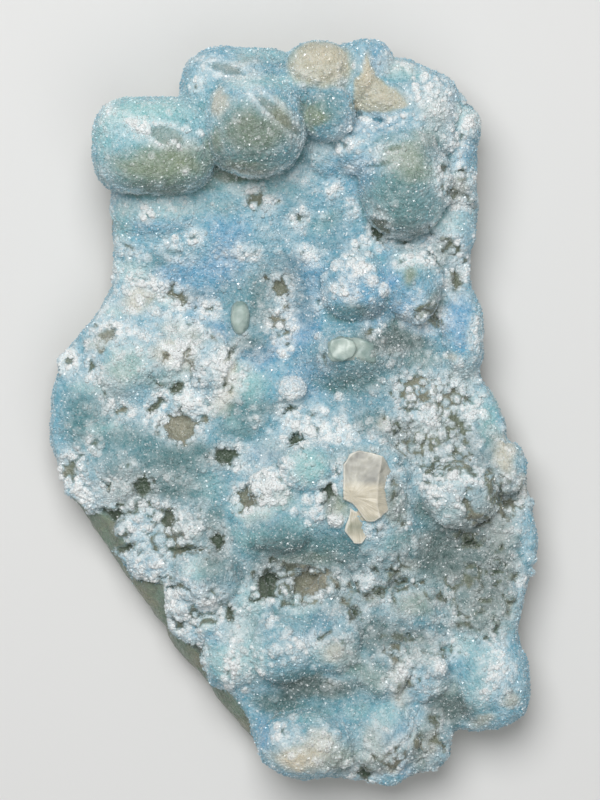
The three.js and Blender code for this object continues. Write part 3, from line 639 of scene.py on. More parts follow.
# how far points seen from above lie inside a table's outline, at most 1 millimetre
def insideOutline(at, outline):
    crossings = np.zeros(len(at), int)
    nearest = np.full(len(at), 1.0)
    for (ax, ay), (bx, by) in zip(outline, outline[1:] + outline[:1]):
        dx, dy = bx - ax, by - ay
        along = np.clip(((at[:, 0] - ax) * dx + (at[:, 1] - ay) * dy) / (dx * dx + dy * dy), 0, 1)
        nearest = np.minimum(nearest, np.hypot(at[:, 0] - ax - along * dx, at[:, 1] - ay - along * dy))
        cutAcross = (ay > at[:, 1]) != (by > at[:, 1])
        crossings += cutAcross & (at[:, 0] < ax + (at[:, 1] - ay) * dx / (dy or 1))
    return np.where(crossings % 2 == 1, nearest, -nearest)


# windows, dishes and crevices at each point: distance outside the nearest edge, depth and tone
def windowsAt(points):
    flat = points * (1, 1, 0)
    wander = sum(wanderAt(flat, size, seed) * reach
                 for (size, reach), seed in zip(plate["windowWander"], (3, 13)))
    at, calm = points[:, :2] + wander, points[:, :2] + plate["dishWander"] * wander
    scallopSize, scallop = plate["windowScallops"]
    scallops = scallop * wavesAt(flat, scallopSize, 41)
    bare = spotsAt(at, bareAreas) * (0.9 + 0.9 * noiseAt(flat, 2.6, 45))
    far = scatterAt(flat, plate["islands"], 51)
    widest, gain = plate["creviceWidth"]
    crevices = plate["islands"] * (widest - gain * np.clip(bare, 0, 1)) - far
    out = np.where(bare > plate["creviceFrom"], crevices, 3.0)  # 3 is far from any edge
    depth = np.full(len(points), plate["creviceDepth"])
    tone = np.full(len(points), plate["creviceTone"])
    shallow, deeper = plate["depthBySize"]
    openings = [(row, False) for row in windows] + [(row, True) for row in dishes]
    for (x, y, rx, ry, turn, share, hue), smooth in openings:
        px, py = (calm if smooth else at).T - np.array([[x], [y]])
        small, reach = min(rx, ry), 3 * max(rx, ry) + 1
        near = np.nonzero((abs(px) < reach) & (abs(py) < reach))[0]
        c, s = cosSin(turn)
        u, v = (px[near] * c + py[near] * s) / rx, (py[near] * c - px[near] * s) / ry
        widening = plate["largeWidening"] * (not smooth and small > plate["largeWindow"])
        edge = (np.hypot(u, v) - plate["windowWidening"] - widening) * small
        if not smooth:
            edge += scallops[near] * min(1, small + 0.2)
        wins = edge < out[near]
        closer = near[wins]
        out[closer] = edge[wins]
        depth[closer], tone[closer] = share * min(1, shallow + small * deeper), hue
    return out, depth, tone


# each point's nearest bead and how much it belongs to it
def beadsAt(points):
    tree = KDTree(len(beadPlaces))
    for index, place in enumerate(beadPlaces.tolist()):
        tree.insert(place, index)
    tree.balance()
    found = [tree.find(point)[1:] for point in points.tolist()]
    index, far = (np.array(column) for column in zip(*found))
    return index, 1 - smoothStep(far / beadSizes[index], *plate["beadReach"])


# the fields that both the shape and the colours follow
def surveyPlate(mesh):
    points, normals = getPoints(mesh), getNormals(mesh)
    out, depth, tone = windowsAt(points)
    bead, onBead = beadsAt(points)
    jagged = points[:, :2] + 0.3 * wanderAt(points, 0.9, 61)
    onLedge = smoothStep(insideOutline(jagged, ledge), -0.05, 0.1)
    onLedge *= 1 - smoothStep(points[:, 2], *plate["ledgeHeight"])
    crust = smoothStep(points[:, 2] + 0.5 * noiseAt(points, 1.8, 31), *plate["crustHeight"])
    crust *= smoothStep(normals[:, 2], *plate["crustTurn"]) * (1 - onLedge)
    mouth = (1 - smoothStep(out, *plate["windowEdge"])) * smoothStep(normals[:, 2], 0.05, 0.4)
    bared = [smoothStep(insideOutline(jagged, edge), 0.05 - soft, 0.05 + soft) for soft, edge in scars]
    fields = {
        "scar": np.maximum.reduce(bared),
        "crust": crust,
        "depth": depth * mouth,
        "tone": tone,
        "bead": bead,
        "onBead": onBead,
        "inside": mouth * (1 - onBead) * crust,
        "fringe": (1 - smoothStep(out, *plate["windowFringe"])) * (1 - mouth),
    }
    return points, normals, fields


def shapePlate(mesh):
    points, normals, fields = surveyPlate(mesh)
    crust, inside, onBead = fields["crust"], fields["inside"], fields["onBead"]
    beady = spotsAt(points, [(*row[:4], plate["beadyPatches"]) for row in beadPatches])
    beady = np.clip(beady + plate["beadyFringe"] * fields["fringe"], 0, 1)
    ripple = wavesAt(points, plate["rippleSize"], 5)
    bump = wavesAt(points, plate["bumpSize"], 2)
    bead = wavesAt(points, plate["beadSize"], 9)
    island = bumpsAt(points * (1, 1, 0), plate["islands"], 51) * np.clip(spotsAt(points, bareAreas), 0, 1)
    lift = plate["ripple"] * ripple + plate["bump"] * bump * (1 - plate["beadyBumps"] * beady)
    lift += plate["bead"] * bead * beady + plate["grain"] * noiseAt(points, plate["grainSize"], 4)
    lift += plate["islandRise"] * island
    lift += plate["knob"] * wavesAt(points, plate["knobSize"], 77) * spotsAt(points, knobbly)
    lift *= crust * (1 - plate["floorCalm"] * inside) * (1 - plate["scarCalm"] * fields["scar"])
    rough = plate["rockWave"] * noiseAt(points, plate["rockWaveSize"], 6)
    rough += plate["rockChip"] * wavesAt(points, plate["rockChipSize"], 91)
    rough += plate["rockGrain"] * noiseAt(points, plate["rockGrainSize"], 7)
    lift += rough * (1 - crust) * smoothStep(points[:, 2], *plate["rockFoot"])
    points += normals * lift[:, None]
    out, share, _ = windowsAt(beadPlaces)  # a bead sinks with the floor under its middle
    sunk = plate["beadSinks"] * share * (1 - smoothStep(out, *plate["beadEdge"]))
    drop = fields["depth"] * (1 - onBead) + sunk[fields["bead"]] * onBead
    points[:, 2] -= plate["windowDepth"] * drop * crust
    setPoints(mesh, points)


print("welding the plate")
skin, beadPlaces, beadSizes, beadTones = makePlateSkin()
print("  skin faces", len(skin.polygons), "beads", len(beadPlaces))
shapePlate(skin)


# where each colour lies on the crust: x, y, radius x, radius y, strength
# the rows just below the big nodules on the left, near y 18 to 21, are painted light that lifts the shade
# there; the rest is the crust's own white
whiteSpots = [
    (-14.4, 10.0, 2.0, 1.6, 0.3), (-16.6, 26.0, 1.2, 1.4, 0.3), (-6.0, 29.6, 3.0, 1.2, 0.25),
    (-4.4, 12.6, 1.6, 1.4, 0.35), (5.7, 25.8, 1.4, 0.9, 0.3), (-3.7, -8.4, 1.4, 1.2, 0.35),
    (-13.6, -1.0, 2.0, 1.2, 0.3), (14.5, -9.3, 1.6, 1.0, 0.3), (1.0, 31.0, 1.0, 0.6, 0.4),
    (3.8, 29.4, 0.9, 0.7, 0.6), (-18.6, 2.8, 1.8, 1.4, 0.3), (12.6, 0.6, 3.6, 4.0, 0.3),
    (12.4, 21.6, 0.9, 2.2, 0.3), (14.0, -5.0, 2.4, 1.4, 0.3), (9.6, 30.4, 3.0, 0.8, 0.4),
    (13.4, 28.0, 1.2, 2.0, 0.4), (11.6, 25.6, 2.6, 1.6, 0.3), (7.0, 24.6, 2.6, 0.9, 0.3),
    (12.4, 24.8, 2.0, 1.6, 0.6), (6.4, 25.0, 1.8, 0.9, 0.4), (13.2, -8.4, 1.8, 1.0, 0.5),
    (8.2, -12.0, 1.4, 0.8, 0.3), (-4.4, -20.4, 2.0, 2.8, 0.45), (-14.4, 9.4, 2.2, 1.4, 0.35),
    (18.2, -24.0, 1.6, 1.8, 0.3), (-6.2, 14.2, 1.4, 1.0, 0.3), (-16.4, 20.2, 1.0, 2.0, 0.3),
    (-19.4, 4.2, 1.4, 1.4, 0.3), (16.4, 7.0, 0.9, 2.6, 0.6), (-12.4, 18.3, 4.6, 1.6, 0.3),
    (0.6, 20.9, 1.7, 1.0, 0.6), (-6.2, 14.0, 1.2, 1.0, 0.35), (-14.0, 10.0, 1.5, 1.2, 0.6),
    (15.0, 26.0, 1.1, 1.5, 0.6), (13.6, 16.8, 1.5, 2.8, 0.35), (-4.0, -23.0, 1.9, 1.2, 0.55),
    (-0.8, -7.4, 2.3, 1.2, 0.45), (13.0, -8.6, 1.5, 0.9, 0.6), (-10.0, -19.0, 1.3, 1.1, 0.45),
    (-3.0, 20.8, 3.4, 0.7, 0.3), (-11.8, 18.4, 4.6, 1.2, 0.5), (-3.8, 20.7, 3.4, 0.6, 0.4),
    (3.0, 22.6, 1.8, 0.8, 0.15), (15.2, 25.8, 0.9, 1.2, 0.6), (-12.8, 11.2, 2.0, 1.2, 0.5),
    (4.4, 24.8, 0.8, 0.6, 0.3), (-4.6, -22.6, 1.8, 1.4, 0.5), (13.9, -8.2, 1.0, 0.6, 0.5),
    (-13.6, 24.5, 2.2, 0.6, 0.7), (-11.6, 23.5, 1.2, 0.3, 0.7), (-12.0, 27.0, 2.6, 0.5, 0.3),
    (-14.5, 11.5, 1.8, 2.4, 0.6), (-16.5, 8.5, 1.6, 1.6, 0.7), (-11.4, 8.8, 2.0, 1.0, 0.7),
    (-13.0, 6.8, 3.0, 1.6, 0.5), (-9.6, 5.4, 1.4, 1.6, 0.8), (-6.6, 4.6, 1.3, 1.6, 0.9),
    (-8.4, 1.2, 2.4, 1.4, 0.7), (-15.8, 1.0, 1.4, 0.7, 0.7), (-19.6, 5.0, 1.4, 1.2, 0.7),
    (-12.6, -0.6, 1.2, 0.8, 0.7), (-19.8, -5.0, 1.2, 2.0, 0.9), (-18.0, -2.2, 1.0, 0.8, 0.6),
    (-18.3, -7.2, 1.4, 0.9, 0.7), (-15.4, -6.2, 1.6, 1.2, 0.4), (-14.4, -9.6, 1.4, 0.9, 0.8),
    (-9.7, -9.8, 1.9, 1.4, 0.8), (-12.6, -13.6, 2.4, 1.2, 0.8), (-11.0, -16.2, 1.2, 1.4, 0.8),
    (-7.2, -17.0, 1.4, 1.2, 0.6), (-11.4, -8.2, 3.0, 0.5, 0.5), (-2.2, -6.6, 1.8, 1.5, 0.9),
    (-4.4, -4.6, 1.6, 0.7, 0.7), (2.0, -8.6, 1.2, 1.0, 0.8), (3.8, -9.0, 1.0, 0.8, 0.6),
    (2.8, -1.6, 2.6, 1.4, 0.9), (-0.4, -1.2, 1.8, 0.8, 0.7), (0.0, -20.5, 2.2, 1.5, 0.9),
    (-2.0, -18.0, 1.2, 0.7, 0.7), (-0.4, -28.4, 1.6, 0.7, 0.6), (2.6, -28.6, 1.2, 1.2, 0.5),
    (5.4, 12.8, 1.7, 1.2, 0.9), (4.0, 10.7, 1.6, 0.9, 0.6), (10.6, 13.8, 1.7, 1.1, 0.8),
    (7.8, 25.7, 2.7, 0.7, 0.9), (11.4, 28.0, 2.2, 1.4, 0.9), (9.5, 30.4, 1.6, 0.7, 0.7),
    (14.4, 23.0, 0.9, 1.6, 0.6), (15.0, 13.0, 0.7, 1.5, 0.5), (15.8, 6.8, 0.6, 2.0, 0.7),
    (-0.2, 2.3, 1.2, 1.1, 0.7), (14.2, -5.2, 2.6, 1.2, 0.8), (12.4, -6.8, 1.5, 1.1, 0.7),
    (17.8, -21.9, 2.0, 1.3, 0.9), (12.7, -22.3, 0.9, 0.6, 1.0), (10.2, -22.4, 1.6, 1.4, 0.3),
    (6.0, -14.6, 1.1, 0.9, 0.6), (3.0, -15.0, 0.9, 0.8, 0.6), (-1.0, -15.8, 0.8, 0.8, 0.6),
    (16.0, 0.6, 1.5, 1.6, 0.5), (12.6, -1.6, 2.4, 2.2, 0.4), (-8.8, 15.2, 1.1, 0.8, 0.4),
    (-7.3, 9.2, 1.1, 1.0, 0.5), (-3.4, 13.5, 1.4, 0.5, 0.8), (-2.6, 16.4, 1.0, 1.0, 0.4),
    (-12.9, 17.2, 0.7, 0.7, 0.7), (1.6, 13.4, 1.0, 0.4, 0.8), (-0.4, 15.6, 1.6, 1.0, 0.3),
    (-12.6, 11.8, 1.6, 0.9, 0.7), (-1.0, -5.4, 2.0, 1.2, 0.4), (-5.0, -21.6, 1.4, 1.2, 0.4),
    (14.4, 18.2, 1.2, 0.5, 0.5), (3.0, 28.8, 1.8, 0.4, 0.6), (4.0, 1.6, 0.5, 0.5, 0.8),
    (19.2, -23.4, 1.2, 1.6, 0.5), (7.6, -27.2, 1.4, 1.2, 0.4), (4.2, -13.8, 1.4, 0.6, 0.3),
    (0.6, 20.6, 1.2, 0.5, 0.3),
]
creamSpots = [
    (0.5, -30.0, 3.4, 1.6, 0.3), (7.8, -29.0, 2.6, 2.0, 0.3), (3.4, 30.2, 2.6, 1.6, 0.3),
    (9.0, 30.6, 2.0, 1.0, 0.25), (-15.6, 2.6, 2.2, 1.6, 0.3), (12.6, 26.2, 1.8, 1.4, 0.25),
    (-15.0, -7.4, 2.2, 1.6, 0.3), (10.0, -2.0, 2.4, 2.0, 0.25), (13.6, -24.0, 1.4, 1.2, 0.3),
    (-4.6, -18.6, 1.8, 2.0, 0.25), (-9.8, 4.6, 1.4, 1.8, 0.4), (-6.2, 2.6, 1.2, 2.0, 0.4),
    (-8.6, 7.0, 1.6, 1.0, 0.3), (14.6, 3.4, 1.8, 1.6, 0.3), (13.0, -0.6, 2.6, 2.6, 0.25),
    (-14.0, 10.0, 1.8, 1.2, 0.5), (-10.0, 5.0, 1.8, 1.4, 0.35), (-2.0, -3.0, 2.0, 1.2, 0.3),
    (5.6, -3.6, 2.6, 1.2, 0.3), (18.2, -9.0, 1.6, 3.0, 0.4), (2.6, -30.0, 3.2, 1.8, 0.35),
    (12.0, 27.2, 2.2, 1.4, 0.3), (2.0, 31.6, 1.8, 0.8, 0.5), (2.2, 31.0, 2.3, 1.4, 0.9),
    (2.4, 29.2, 1.9, 0.8, 0.6), (6.3, 29.4, 0.6, 2.3, 0.9), (7.7, 27.5, 1.9, 0.9, 0.9),
    (-6.4, 26.8, 0.9, 1.3, 0.7), (-13.4, 10.6, 1.6, 0.8, 0.6), (-3.2, -8.8, 1.4, 1.0, 0.3),
    (-11.0, 5.4, 1.6, 1.5, 0.7), (-10.6, 7.6, 1.6, 0.7, 0.5), (-5.9, 4.4, 0.9, 1.5, 0.7),
    (-6.3, 1.6, 0.9, 1.0, 0.6), (-14.0, 9.6, 1.0, 0.8, 0.5), (-17.2, 6.6, 1.2, 0.9, 0.5),
    (18.6, -3.6, 1.2, 2.0, 0.8), (20.2, -6.6, 0.6, 1.7, 0.6), (3.4, -20.8, 1.1, 1.1, 0.7),
    (9.5, -24.6, 0.8, 1.5, 0.7), (9.0, -22.4, 1.0, 1.0, 0.5), (0.6, -30.5, 2.1, 1.3, 0.9),
    (12.3, -28.9, 0.6, 1.1, 0.8), (19.0, -25.2, 0.9, 0.9, 0.6), (16.6, -27.0, 1.3, 0.6, 0.6),
    (8.3, -31.6, 0.7, 0.6, 0.7), (14.2, 19.9, 1.1, 1.2, 0.7), (13.6, 5.2, 0.7, 0.6, 0.6),
    (10.2, -13.4, 1.0, 0.8, 0.4), (11.2, 8.8, 0.6, 0.6, 0.5), (-4.6, 30.6, 1.6, 0.4, 0.4),
    (14.2, 12.0, 0.8, 0.8, 0.5), (2.2, -28.8, 1.2, 1.2, 0.6), (6.8, -29.0, 1.0, 1.6, 0.3),
    (8.3, -0.9, 0.7, 0.7, 0.7), (-9.0, 6.6, 0.8, 1.0, 0.4), (7.0, -16.2, 1.0, 0.6, 0.4),
]
# the thin rows along the lower edges of the big nodules on the left, near y 20 to 22, are painted shade; the
# rest is the crust's own teal
tealSpots = [
    (-4.4, 9.0, 2.2, 3.4, 0.3), (0.2, 11.0, 1.8, 2.2, 0.3), (-6.6, 4.6, 1.4, 1.4, 0.2),
    (-17.8, 1.0, 2.6, 3.6, 0.25), (-14.0, -2.4, 4.4, 1.6, 0.2), (-5.0, 0.6, 2.6, 2.2, 0.3),
    (-2.6, 10.4, 1.8, 2.6, 0.35), (8.0, 3.4, 5.0, 1.8, 0.35), (-7.0, -5.4, 4.0, 2.6, 0.3),
    (2.0, 4.4, 2.6, 2.0, 0.25), (-16.6, -1.6, 3.6, 2.6, 0.3), (16.4, -9.6, 3.2, 3.6, 0.3),
    (2.6, -12.6, 6.0, 1.4, 0.3), (3.0, -26.0, 3.6, 1.2, 0.3), (-5.4, 10.6, 3.0, 1.8, 0.35),
    (7.4, 6.0, 4.4, 1.5, 0.45), (3.4, 16.0, 2.6, 2.4, 0.3), (-12.0, -5.6, 4.2, 2.6, 0.35),
    (-4.0, 7.6, 3.0, 1.4, 0.3), (13.6, -12.8, 4.0, 3.6, 0.35), (0.0, 19.0, 15.0, 5.0, 0.12),
    (-11.8, 19.9, 4.6, 0.45, 0.8), (-14.0, -4.0, 6.0, 4.0, 0.4), (3.0, -14.0, 10.0, 4.0, 0.4),
    (13.0, -12.0, 6.0, 8.0, 0.4), (-8.0, -11.0, 4.0, 5.0, 0.4), (3.0, -22.0, 8.0, 6.0, 0.3),
    (6.0, 4.0, 5.0, 2.4, 0.4), (-5.0, 1.0, 3.0, 3.0, 0.3), (-11.5, 20.0, 4.4, 0.6, 0.9),
    (-4.0, 22.0, 3.6, 0.7, 0.9), (2.8, 26.6, 1.7, 1.6, 0.7), (8.6, 19.0, 2.4, 2.6, 0.9),
    (9.4, 16.8, 2.0, 1.5, 0.9), (11.8, 17.8, 1.6, 1.8, 0.6), (5.0, 8.8, 2.0, 0.9, 0.8),
    (10.4, 6.6, 1.6, 0.9, 0.7), (-18.5, -0.5, 2.4, 2.8, 0.8), (-14.5, -2.0, 2.4, 1.4, 0.7),
    (-9.5, -3.6, 3.8, 1.6, 0.9), (-10.4, -6.2, 2.4, 1.5, 0.8), (-12.2, 2.9, 1.5, 1.0, 0.8),
    (-4.0, 0.2, 1.8, 2.0, 0.6), (-5.2, -1.6, 1.8, 0.8, 0.7), (-1.2, -11.0, 4.4, 1.6, 0.9),
    (3.6, -11.8, 3.0, 1.0, 0.8), (11.7, -8.6, 1.2, 1.2, 0.9), (13.2, -11.5, 2.5, 2.0, 0.9),
    (12.6, -14.2, 1.8, 1.5, 0.8), (5.0, 2.8, 2.8, 1.0, 0.7), (6.8, -0.6, 1.5, 0.9, 0.7),
    (0.6, -23.6, 2.6, 1.3, 0.9), (-1.8, -25.6, 2.2, 1.0, 0.9), (3.8, -24.2, 1.6, 1.0, 0.6),
    (13.8, -25.6, 1.5, 1.5, 0.9), (7.0, -19.2, 1.4, 1.8, 0.7), (10.8, -17.2, 2.0, 1.3, 0.5),
    (18.0, -15.6, 1.4, 1.6, 0.6), (-2.0, 19.6, 1.6, 0.5, 0.5), (1.4, 22.6, 2.0, 1.2, 0.4),
    (-12.0, 13.6, 1.6, 0.8, 0.5), (-7.0, -9.4, 1.0, 1.4, 0.5), (-3.6, 6.6, 1.4, 0.7, 0.5),
    (12.8, 25.0, 1.4, 1.2, 0.4), (-15.6, -4.2, 1.6, 0.8, 0.4), (-7.6, -8.6, 1.4, 1.0, 0.4),
    (16.2, -25.8, 1.4, 1.0, 0.5), (3.0, 15.0, 1.2, 0.8, 0.3), (8.6, 10.2, 1.0, 1.2, 0.3),
]
skySpots = [
    (6.4, 25.2, 2.6, 1.2, 0.5), (7.0, 30.6, 1.4, 1.8, 0.4), (-3.6, 18.8, 5.0, 1.8, 0.5),
    (-12.4, 18.0, 4.8, 1.6, 0.4), (16.2, 7.0, 1.0, 2.4, 0.3), (-3.6, 18.4, 4.0, 1.6, 0.4),
    (0.0, 18.0, 8.0, 3.4, 0.3), (-12.4, 18.2, 4.8, 1.8, 0.8), (10.4, 8.6, 4.0, 3.0, 0.35),
    (-12.6, 18.6, 3.6, 1.2, 0.4), (8.0, 15.6, 6.5, 7.0, 0.22), (-8.0, 9.0, 2.0, 1.2, 0.3),
    (1.0, 18.4, 2.2, 1.6, 0.5), (3.0, 15.6, 2.4, 1.6, 0.5), (12.4, 15.8, 1.6, 1.2, 0.5),
    (6.4, 8.8, 2.0, 0.8, 0.6), (9.0, 14.2, 1.2, 1.2, 0.5), (5.4, 11.0, 2.4, 2.0, 0.4),
    (15.0, 22.6, 0.9, 1.6, 0.4), (-9.4, 10.2, 1.6, 0.6, 0.6), (-6.0, 16.2, 2.0, 2.2, 0.9),
    (-6.4, 13.0, 2.3, 2.2, 0.8), (-10.3, 12.4, 2.4, 1.4, 0.7), (-8.4, 10.6, 2.6, 1.0, 0.6),
    (-3.0, 5.6, 2.0, 1.7, 0.9), (0.6, 11.4, 2.0, 2.8, 0.9), (0.5, 7.6, 1.6, 2.8, 0.9),
    (1.6, 3.4, 2.2, 1.8, 0.8), (-12.5, 17.6, 2.8, 1.8, 0.5), (-6.6, 7.6, 1.5, 0.8, 0.9),
    (6.0, 20.6, 1.5, 2.3, 0.8), (8.3, 12.4, 0.7, 2.8, 0.9), (14.5, 8.2, 1.1, 2.5, 0.8),
    (14.2, 26.2, 1.2, 1.8, 0.8), (9.2, 9.2, 1.0, 1.8, 0.5), (-9.0, 28.8, 1.4, 2.0, 0.7),
    (-4.4, 31.2, 2.8, 1.0, 0.4), (9.6, -31.3, 1.2, 0.9, 0.7), (1.0, -18.6, 2.0, 1.8, 0.7),
    (-2.8, -28.2, 1.1, 1.5, 0.6), (-9.0, 22.4, 0.8, 2.2, 0.4), (3.6, 21.4, 2.0, 1.6, 0.5),
    (-3.0, -10.0, 2.2, 0.9, 0.5), (-7.4, -4.0, 1.8, 1.0, 0.4), (-5.6, -20.6, 1.4, 1.6, 0.5),
    (-8.6, -14.4, 1.6, 1.0, 0.4), (8.6, -27.6, 1.5, 1.4, 0.5), (-12.4, -13.0, 1.2, 0.7, 0.4),
    (-2.6, -3.4, 1.6, 0.8, 0.5), (-1.6, 17.8, 1.2, 1.0, 0.5), (8.2, -11.0, 1.4, 0.9, 0.6),
    (17.4, -21.8, 1.6, 1.2, 0.4),
]
# the rows just below the big nodules on the left, near y 18 to 21, are painted light that lifts the shade
# there
aquaSpots = [
    (-12.0, 18.4, 4.6, 1.6, 0.35), (-4.0, 20.4, 3.6, 1.2, 0.4), (-12.6, 26.4, 4.4, 1.6, 0.4),
    (16.2, 7.4, 1.0, 2.6, 0.3), (8.0, 14.0, 3.0, 1.6, 0.25), (-3.4, 19.2, 6.0, 2.4, 0.35),
    (9.4, 18.6, 4.0, 3.0, 0.25), (-4.6, -20.6, 2.2, 3.0, 0.3), (0.0, 19.0, 16.0, 5.0, 0.16),
    (-12.6, 25.2, 5.4, 2.6, 0.55), (-12.4, 18.6, 4.6, 1.5, 0.2), (-12.4, 18.0, 4.4, 1.4, 0.5),
    (-1.0, -8.0, 3.0, 0.8, 0.4), (14.0, -8.4, 1.4, 0.8, 0.5), (-7.4, -6.4, 1.6, 1.2, 0.4),
    (-3.6, -8.4, 2.0, 1.2, 0.6), (14.9, 26.2, 1.2, 1.6, 0.8), (-4.6, -21.8, 2.0, 1.8, 0.6),
    (-11.0, 2.6, 1.4, 1.2, 0.5), (-5.0, 3.0, 1.4, 1.6, 0.6), (-4.2, -10.6, 1.6, 1.0, 0.5),
    (0.4, -16.8, 1.8, 0.9, 0.6), (2.2, -21.0, 1.2, 1.2, 0.4), (1.2, -4.4, 2.0, 1.7, 1.0),
    (0.2, -9.6, 2.0, 0.5, 0.4), (10.4, 13.6, 1.9, 1.4, 0.7), (-13.4, 26.2, 3.8, 1.1, 0.8),
    (-16.6, 24.0, 1.0, 2.0, 0.6), (-8.8, 28.6, 1.4, 2.2, 0.5), (-3.2, 31.4, 3.0, 0.8, 0.6),
    (-3.0, 28.8, 3.4, 0.8, 0.6), (9.6, 29.8, 1.9, 1.1, 0.7), (-8.0, -13.4, 1.9, 1.1, 0.8),
    (-7.8, -18.5, 0.9, 0.6, 0.9), (16.4, 0.6, 1.6, 1.4, 0.5), (17.4, -1.0, 0.9, 1.8, 0.8),
    (14.0, -5.4, 2.0, 1.0, 0.5), (17.0, -21.6, 1.9, 1.3, 0.6), (8.8, -11.2, 1.7, 0.9, 0.6),
    (-14.6, 4.6, 2.2, 1.8, 0.8), (-3.8, 2.4, 1.3, 1.5, 0.7), (-14.4, 12.6, 1.6, 1.2, 0.7),
    (-11.0, 10.0, 1.2, 0.7, 0.7), (0.2, -18.4, 1.8, 1.0, 0.4), (-6.4, -21.6, 1.5, 1.8, 0.7),
    (8.0, -26.6, 1.4, 1.4, 0.6), (14.6, -20.4, 1.4, 1.0, 0.6), (13.6, 17.0, 1.8, 1.2, 0.6),
    (-15.2, 17.0, 0.9, 2.0, 0.6), (-16.0, 9.0, 0.7, 0.7, 0.7), (-16.6, -1.0, 1.6, 0.6, 0.5),
    (-5.4, -0.6, 0.8, 0.6, 0.5), (-3.8, -16.2, 1.5, 1.3, 0.6), (-9.6, 1.0, 1.0, 0.6, 0.5),
    (16.0, -23.8, 1.4, 1.8, 0.5), (5.4, -26.2, 1.0, 1.0, 0.4), (1.6, -26.6, 1.8, 0.8, 0.4),
    (-18.6, 2.4, 1.8, 0.6, 0.5), (2.4, 17.0, 1.4, 1.0, 0.4),
]
